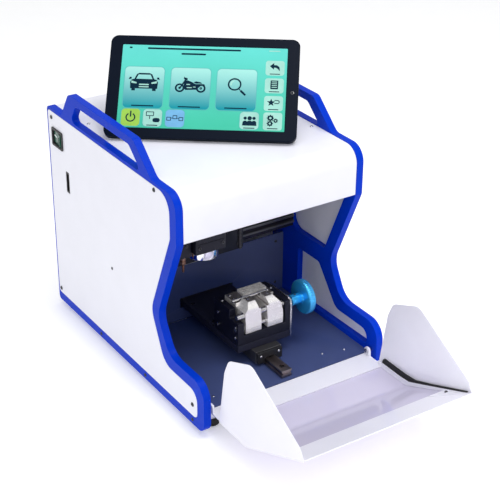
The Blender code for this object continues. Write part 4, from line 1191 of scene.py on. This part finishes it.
# ---------------------------------------------------------------- rear compartment
def power_inlet():
    socket = [(-101.5, 52, 2), (-78.5, 52, 2), (-78.5, 64, 2), (-82, 68, 1), (-98, 68, 1),
              (-101.5, 64, 2)]      # x, z, corner radius
    rear = cad_box("power_inlet")[1].y
    piece("power_inlet_body", box((-106, -74), (389.0, rear), (47.0, 73.0), "y", 3.0),
          "black_plastic", node="power_inlet", slot="black_plastic", bevel=0.4, edits=[
              joined(box((-103.6, -76.4), (372.0, 390.0), (49.4, 70.6), "y")),
              prism(fillet(socket, 4), "y", 376.0, 395.0)])
    bm = bmesh.new()
    for x, z in ((-90, 63.5), (-95.5, 57.5), (-84.5, 57.5)):
        box(about(x, 0.9), (374.0, 386.0), about(z, 2.2), "y", 0.3, bm)
    piece("power_inlet_pins", bm, "brass", bevel=0.2)


def power_supply():
    edits = []
    for k in range(12):     # vents in both long sides
        for span in ((-125, -116.8), (-41.2, -30)):
            edits.append(box(span, (232 + 10.4 * k, 238 + 10.4 * k), (14, 42), "x", 2.5))
    piece("power_supply_case", box((-118, -40), (225, 362), (5.3, 50.0), "z", 0.8),
          "zinc_plate", edits=edits, node="power_supply", slot="zinc_plate", bevel=0.4)


def control_board():
    foot, top = 13.6, 13.8      # foot of the parts, top of the board
    piece("control_board_pcb", box((40, 118), (228, 362), (12.0, top), "z", 2.0),
          "circuit_board", node="control_board", slot="circuit_board")
    bm = bmesh.new()
    for y in (240, 266, 292):       # chips with a finned block on top
        span = (y, y + 16)
        box((48, 64), span, (foot, 16.0), "z", 0.6, bm)
        box((48, 64), span, (16.2, 18.0), "z", 0.6, bm)
        for k in range(6):
            x = 48 + 2.75 * k
            box((x + 0.4, x + 1.6), span, (17.9, 24), "z", 0.2, bm)
    box((80, 104), (250, 274), (foot, 16.0), "z", 0.6, bm)
    piece("control_board_chips", bm, "black_plastic", bevel=0.15)

    bm = box((100, 116), (290, 350), (foot, 22.0), "z", 0.8)
    for y in (332, 344):
        for x in (66, 78):
            lathe([(4.6, foot), (5.0, 14.0), (5.0, 19.2), (4.6, 20.0)], "z", (x, y, 0), 24, bm)
    piece("control_board_terminals", bm, "zinc_plate", bevel=0.2)

    bm = bmesh.new()
    for y in (233, 357):
        for x in (45, 113):
            lathe([(3, 5.3), (3, 12.2)], "z", (x, y, 0), 6, bm)
            screw(bm, (x, y, top), "z", radius=2.4, height=1.4, kind="cross", turn=x)
    piece("control_board_posts", bm, "brass")


# cable radius, then the points it runs through
CABLES = [
    (2.2, [(-78, 362.5, 30), (-78, 370, 30), (-84, 374, 45), (-90, 373.5, 57)]),
    (1.6, [(-39.5, 300, 30), (-20, 305, 16), (10, 312, 14), (34, 318, 18), (52, 320, 26),
           (99, 320, 18)]),
    (1.6, [(100.2, 300, 18), (92, 318, 30), (60, 345, 58), (21.2, 356, 62)]),
    (1.8, [(-118, 330, 51), (-112, 345, 120), (-112, 362, 200), (-117, 364, 235),
           (-117.5, 364, 247)])]


def wiring():
    bm = bmesh.new()
    for radius, points in CABLES:
        tube(bm, smooth_path(points), radius)
    piece("wiring_looms", bm, "black_rubber")


power_inlet()
power_supply()
control_board()
wiring()

# -------------------------------------------------------------------------- tablet
TABLET_W, TABLET_H, TABLET_T = 240.0, 140.0, 7.5
screen_lo, screen_hi = cad_box("tablet_screen")
TABLET = placing(ALONG, SCREEN_UP, SCREEN_OUT,
                 (screen_lo + screen_hi) / 2 + SCREEN_OUT * 0.525)
# w of the layers of the picture: foot of the tiles, their face, and the crest of the marks
FOOT, FACE, CREST = -0.27, -0.16, -0.06
tiles, outlines, dark, light, yellow, blue = (bmesh.new() for _ in range(6))


def centred(width, height, radius, u, v, segments=8):
    return rect(*about(u, width / 2), *about(v, height / 2), radius, segments)


def plate(bm, width, height, radius, u, v, lo, hi, segments=8):
    """Rounded rectangle lying on the tablet, w from lo to hi."""
    outline = centred(width, height, radius, u, v, segments)
    return prism(outline, "z", lo, hi, bm, TABLET)


def bar(bm, width, height, radius, u, v, lo=FACE, hi=CREST):
    """Small plate with coarse corners."""
    plate(bm, width, height, radius, u, v, lo, hi, 3)


def patch(bm, points, u, v, lo=FACE, hi=CREST, scale=1.0):
    """Polygon drawn about a place on the tablet."""
    prism([(u + x * scale, v + y * scale) for x, y in points], "z", lo, hi, bm, TABLET)


def border(bm, width, height, radius, u, v, thick, lo=FOOT, hi=CREST):
    """Thin rounded rectangular ring."""
    outer = centred(width, height, radius, u, v)
    inner = centred(width - 2 * thick, height - 2 * thick, max(0.3, radius - thick), u, v)
    rings = [[bm.verts.new(TABLET @ Vector((p[0], p[1], w))) for p in points]
             for points, w in ((outer, lo), (outer, hi), (inner, hi), (inner, lo))]
    ring_faces(bm, rings + rings[:1], capped=False)


def disc(bm, u, v, inner, outer, hi=CREST, segments=36, start=0.0, end=360.0):
    """Flat ring or ring sector on the tablet face, angles in degrees."""
    full = abs(end - start) >= 359.9
    count = segments if full else max(4, int(segments * abs(end - start) / 360))
    rings = []
    for radius, w in ((outer, FACE), (outer, hi), (inner, hi), (inner, FACE)):
        ring = []
        for k in range(count if full else count + 1):
            t = math.radians(start + (end - start) * k / count)
            point = Vector((u + radius * math.cos(t), v + radius * math.sin(t), w))
            ring.append(bm.verts.new(TABLET @ point))
        rings.append(ring)
    ring_faces(bm, rings + rings[:1], capped=False, around=full)
    if not full:
        bm.faces.new([ring[0] for ring in rings])
        bm.faces.new([ring[-1] for ring in rings][::-1])


def screen_layout():
    for u in (-74.0, -15.5, 42.5):      # three large tiles
        plate(tiles, 50.0, 57.0, 5.5, u, -2.0, FOOT, FACE)
        border(outlines, 51.0, 58.0, 6.0, u, -2.0, 0.7)
        bar(dark, 28.0, 1.5, 0.6, u, -27.2, FACE - 0.05)
    # right column: v, height, distance down to the underline
    for v, height, drop in ((29.4, 20.4, 8.2), (5.1, 20.4, 8.2), (-19.2, 20.4, 8.2),
                            (-43.4, 24.0, 9.8)):
        plate(light, 23.6, height, 3.6, 89.5, v, FOOT, FACE)
        bar(dark, 13.0, 1.1, 0.5, 89.5, v - drop, FACE - 0.05)
    # bottom row
    for u, layer in ((-87.5, yellow), (-60.0, light), (-32.0, blue), (60.5, light)):
        plate(layer, 24.0, 24.0, 5.0, u, -43.4, FOOT, FACE)
        border(outlines, 24.6, 24.6, 5.3, u, -43.4, 0.6)
    for u in (-60.0, 60.5):
        bar(dark, 14.0, 1.1, 0.5, u, -53.4, FACE - 0.05)
    # header lines
    bar(dark, 118.0, 2.2, 0.8, -13.6, 52.5, FOOT)
    bar(dark, 31.0, 2.2, 0.8, -14.0, 45.8, FOOT)
    bar(dark, 3.4, 2.0, 0.6, -94.0, 53.0, FOOT)
    bar(light, 14.0, 1.4, 0.5, 88.0, 53.0, FOOT)


def car_icon(u, v, scale):
    """Car seen from the front."""
    body = [(-12, -5.5), (-12.4, 0.5), (-11.2, 3.0), (-8.8, 3.8), (-6.8, 8.4), (-4.6, 9.6),
            (4.6, 9.6), (6.8, 8.4), (8.8, 3.8), (11.2, 3.0), (12.4, 0.5), (12, -5.5),
            (10.8, -5.5), (10.8, -7.6), (7.6, -7.6), (7.6, -5.5), (-7.6, -5.5), (-7.6, -7.6),
            (-10.8, -7.6), (-10.8, -5.5)]
    mirror = [(13.8, 3.4), (11.4, 3.6), (11.2, 5.4), (13.0, 5.6)]
    lamp = [(11.4, 2.0), (6.4, 0.4), (6.8, -0.8), (11.2, -0.2)]
    glass = [(-7.2, 3.8), (7.2, 3.8), (5.4, 8.0), (-5.4, 8.0)]
    low, high = FACE + 0.03, CREST + 0.02       # details laid over the body
    patch(dark, body, u, v, FACE, FACE + 0.06, scale)
    for side in (-1, 1):
        patch(dark, [(side * x, y) for x, y in mirror][::side], u, v, FACE, FACE + 0.06, scale)
    patch(tiles, glass, u, v, low, high, scale)
    for side in (-1, 1):
        patch(light, [(side * x, y) for x, y in lamp][::side], u, v, low, high, scale)
    plate(light, 12.4, 1.7, 0.6, u, v - 2.2, low, high)
    plate(light, 12.4, 1.5, 0.6, u, v - 5.4, low, high)


def motorbike_icon(u, v, scale):
    """Motorbike seen from the side."""
    for side in (-1, 1):
        hub = (u + side * 10.4 * scale, v - 3.0 * scale)
        disc(dark, *hub, 2.9 * scale, 4.7 * scale)
        disc(dark, *hub, 0.4 * scale, 1.3 * scale, segments=16)
    fork = [(-11.2, -3.6), (-9.6, -3.8), (-4.4, 5.4), (-5.8, 5.8)]
    bars = [(-6.6, 9.6), (-6.2, 8.4), (-3.2, 7.6), (-3.0, 5.6), (-4.6, 5.2), (-6.8, 6.6)]
    body = [(-5.2, 5.0), (-2.8, 5.2), (1.6, 3.4), (5.0, 1.4), (13.0, 1.6), (14.6, 0.4),
            (10.0, -0.6), (6.0, -4.6), (-4.6, -5.2), (-6.2, -3.6), (-6.6, 1.6)]
    seat = [(3.0, 3.4), (5.4, 4.4), (9.6, 3.6), (11.6, 2.2), (5.0, 2.0)]
    for points in (fork, bars, body, seat):
        patch(dark, points, u, v, FACE, FACE + 0.07, scale)
    for x, y, width, height in ((-2.2, 0.8, 3.6, 1.0), (-1.0, -2.6, 5.0, 0.9),
                                (4.0, -1.8, 2.6, 0.8)):
        bar(light, width * scale, height * scale, 0.3, u + x * scale, v + y * scale,
            FACE + 0.03, CREST + 0.03)


def magnifier_icon(u, v):
    disc(dark, u - 2.6, v + 3.0, 6.6, 8.6)
    disc(light, u - 2.6, v + 3.0, 3.6, 5.4, FACE + 0.04, segments=30, start=100.0, end=200.0)
    patch(dark, [(2.6, -3.6), (4.6, -5.6), (5.4, -4.8), (3.4, -2.8)], u, v, hi=FACE + 0.05)
    patch(dark, [(4.2, -6.4), (10.6, -12.4), (12.4, -10.6), (6.2, -4.4)], u, v, hi=FACE + 0.07)


def gear(u, v, radius):
    disc(dark, u, v, radius * 0.42, radius, segments=24)
    tooth = ((0.85, 0.2), (1.25, 0.16), (1.25, -0.16), (0.85, -0.2))
    for k in range(8):
        c, s = math.cos(math.radians(45 * k)), math.sin(math.radians(45 * k))
        patch(dark, [(c * x - s * y, s * x + c * y) for x, y in tooth], u, v, scale=radius)


def column_icons():
    """Back arrow, document, star with a hook, and gears."""
    u = 89.5
    arrow = [(-6.6, 1.4), (-1.4, 6.0), (-1.4, 3.2), (2.6, 2.8), (5.4, 0.4), (6.2, -5.4),
             (3.4, -2.0), (1.0, -0.6), (-1.4, -0.4), (-1.4, -3.2)]
    patch(dark, arrow, u, 30.6)
    v = 6.4
    plate(dark, 9.6, 12.0, 0.8, u, v, FACE, CREST - 0.03)
    for k in range(4):
        bar(light, 6.6, 1.0, 0.2, u, v + 4.0 - 2.5 * k, CREST - 0.04, CREST + 0.02)
    v = -18.0
    star = []
    for k in range(10):
        radius = 5.4 if k % 2 == 0 else 2.3
        t = math.radians(90 + 36 * k)
        star.append((radius * math.cos(t), radius * math.sin(t)))
    patch(dark, star, u - 3, v)
    disc(dark, u + 5.0, v + 1.0, 1.6, 2.6, segments=24, start=-90.0, end=90.0)
    bar(dark, 5.0, 1.0, 0.3, u + 3.6, v + 3.1)
    bar(dark, 5.0, 1.0, 0.3, u + 3.6, v - 1.1)
    gear(86.6, -39.0, 3.6)
    gear(86.2, -46.4, 3.2)
    gear(93.2, -42.4, 2.4)


def row_icons():
    """Power sign, cards, linked boxes and people."""
    disc(dark, -87.5, -43.4, 4.6, 6.2, start=120.0, end=420.0)
    bar(dark, 1.7, 8.0, 0.4, -87.5, -38.6)
    border(dark, 10.0, 6.0, 0.8, -63.4, -38.0, 0.9, FACE)
    bar(dark, 1.0, 4.0, 0.2, -63.4, -43.0)
    plate(dark, 9.0, 5.6, 2.4, -55.2, -46.4, FACE, CREST, 4)
    for i, lift in enumerate((0.0, 2.4, 0.0)):
        border(dark, 5.6, 5.0, 0.6, -39.6 + 7.6 * i, -44.0 + lift, 0.8, FACE)
    for i in range(2):
        bar(dark, 2.4, 0.8, 0.2, -35.8 + 7.6 * i, -43.0)
    # u, size and crest of each figure
    for u, size, crest in ((55.4, 0.9, CREST), (66.4, 0.9, CREST), (61.0, 1.2, CREST + 0.03)):
        disc(dark, u, -40.0, 0.1, 2.3 * size, crest, segments=20)
        bust = ((-3.8, -50.0), (3.8, -50.0), (3.2, -45.0), (1.2, -43.4), (-1.2, -43.4),
                (-3.2, -45.0))
        patch(dark, [(x * size, y) for x, y in bust], u, 0.0, hi=crest)


def tablet():
    piece("tablet_shell_body",
          plate(None, TABLET_W, TABLET_H, 10.0, 0, 0, -TABLET_T, 0.0, 14), "tablet_shell",
          "tablet", [plate(None, 209.6, 114.6, 1.2, 0, 0, -1.3, 2.0)],
          node="tablet_body", slot="tablet_shell", bevel=1.6, segments=4)
    piece("tablet_screen_panel", plate(None, 209.0, 114.0, 1.0, 0, 0, -1.0, -0.25),
          "ui_screen", "tablet", node="tablet_screen", slot="screen_glass", bevel=0.1)
    screen_layout()
    car_icon(-74.0, 4.0, 1.42)
    motorbike_icon(-15.5, 2.5, 1.28)
    magnifier_icon(42.5, 2.5)
    column_icons()
    row_icons()
    for name, layer, material in (
            ("ui_tiles", tiles, "ui_tile"), ("ui_outlines", outlines, "ui_edge"),
            ("ui_icons_dark", dark, "ui_dark"), ("ui_buttons_light", light, "ui_light"),
            ("ui_button_yellow", yellow, "ui_yellow"), ("ui_button_blue", blue, "ui_blue")):
        piece(name, layer, material, "tablet", slot="screen_glass")

    # lens on the right border, two keys on the upper edge
    piece("tablet_lens",
          lathe([(2.1, -0.3), (2.1, 0.12), (1.5, 0.16), (1.3, -0.05)], SCREEN_OUT,
                TABLET @ Vector((112.4, -4.0, 0.0)), 32), "lens", "tablet")
    bm = bmesh.new()
    for u, width in ((70.0, 12.0), (92.0, 7.0)):
        bar(bm, width, 2.0, 0.4, u, TABLET_H / 2, *about(-TABLET_T / 2, 1.0))
    piece("tablet_keys", bm, "tablet_shell", "tablet", bevel=0.3)


def tablet_base():
    lo, hi = cad_box("tablet_base")
    x, y = (lo.x + hi.x) / 2, (lo.y + hi.y) / 2
    profile = [(26.4, lo.z), (27.6, lo.z + 0.4), (28.0, lo.z + 1.0), (28.0, hi.z - 1.2),
               (27.4, hi.z - 0.4), (26.6, hi.z)]
    piece("tablet_base_disc", lathe(profile, "z", (x, y, 0), 64), "black_anodised",
          node="tablet_base", slot="black_anodised")
    bm = bmesh.new()
    for k in range(4):
        t = math.radians(45 + 90 * k)
        screw(bm, (x + 21.5 * math.cos(t), y + 21.5 * math.sin(t), hi.z), "z",
              radius=2.0, height=0.25, kind="cross", turn=t)
    piece("tablet_base_screws", bm, "screw_steel")


tablet()
tablet_base()

# CAD nodes that are still shown get a material and soft edges
for name, ob in frame["nodes"].items():
    if ob.hide_render:
        continue
    material = "black_anodised" if name == "tablet_bracket" else "black_plastic"
    ob.data.materials.clear()
    ob.data.materials.append(MATERIALS[material])
    ob.data.set_sharp_from_angle(angle=math.radians(35))
    add_bevel(ob, 0.4, segments=2, angle=35)


# -------------------------------------------------------------------------- studio
def studio_floor(half=6, cells=24):
    """Square grid about the world origin, half in metres."""
    bm = bmesh.new()
    ticks = [-half + 2 * half * i / cells for i in range(cells + 1)]
    rows = [[bm.verts.new((x, y, 0.0)) for y in ticks] for x in ticks]
    for row, after_row in zip(rows, rows[1:]):
        for j in range(cells):
            bm.faces.new((row[j], after_row[j], after_row[j + 1], row[j + 1]))
    floor = add_object("studio_floor", to_mesh("studio_floor", bm))
    surface("floor_paint", (252, 252, 252), rough=0.6, grain=400, bump=0.01, vary=0.01,
            rough_vary=0.03, glow=0.25)
    floor.data.materials.append(MATERIALS["floor_paint"])


def camera():
    """Looks down on the machine from the front left."""
    place = Vector((-811.08, -1120.23, 948.24))     # machine millimetres
    azimuth, elevation, roll = (math.radians(a) for a in (-33.45, 28.01, 0.46))
    back = Vector((math.sin(azimuth) * math.cos(elevation),
                   -math.cos(azimuth) * math.cos(elevation), math.sin(elevation)))
    right = Vector((math.cos(azimuth), math.sin(azimuth), 0.0))
    up = back.cross(right)
    data = bpy.data.cameras.new("camera")
    data.sensor_width = 36.0
    data.sensor_fit = "HORIZONTAL"
    data.lens = 95.616
    data.clip_start = 0.05
    data.clip_end = 30.0
    ob = add_object("camera", data)
    ob.matrix_world = placing(right * math.cos(roll) + up * math.sin(roll),
                              -right * math.sin(roll) + up * math.cos(roll),
                              back, ORIGIN + place * 0.001)
    bpy.context.scene.camera = ob


def area_light(name, at, target, size, power, spread=180):
    """Rectangular light: places and size in metres, power in watts, spread in degrees."""
    data = bpy.data.lights.new(name, "AREA")
    data.shape = "RECTANGLE"
    data.size, data.size_y = size
    data.energy = power
    data.spread = math.radians(spread)
    ob = add_object(name, data)
    aim = (Vector(target) - Vector(at)).normalized().to_track_quat("-Z", "Y")
    ob.matrix_world = Matrix.Translation(Vector(at)) @ aim.to_matrix().to_4x4()


studio_floor()
camera()
area_light("key", at=(-0.9, -1.5, 1.7), target=(0, 0, 0.12), size=(1.4, 1.0), power=6.8)
area_light("fill_left", at=(-1.9, -0.35, 0.9), target=(0.05, -0.05, 0.12), size=(1.2, 1.2),
           power=3.4)
area_light("fill_front", at=(0.3, -1.9, 0.5), target=(0, 0, 0.10), size=(1.0, 1.0), power=3.4)
area_light("top", at=(0.2, -0.1, 2.0), target=(0, 0, 0.2), size=(1.6, 1.6), power=12)
area_light("inner_fill", at=(-0.75, -1.2, 0.35), target=(0.16, -0.18, 0.09), size=(0.2, 0.2),
           power=0.052, spread=15)
area_light("door_fill", at=(0.10, -0.42, 1.60), target=(0.02, -0.18, 0.05), size=(0.5, 0.5),
           power=5.4)

world = bpy.data.worlds.new("studio")
bpy.context.scene.world = world
world.use_nodes = True
background = world.node_tree.nodes["Background"]
background.inputs["Color"].default_value = (0.97, 0.98, 1.0, 1)
background.inputs["Strength"].default_value = 0.60
bpy.context.scene.view_settings.view_transform = "Standard"
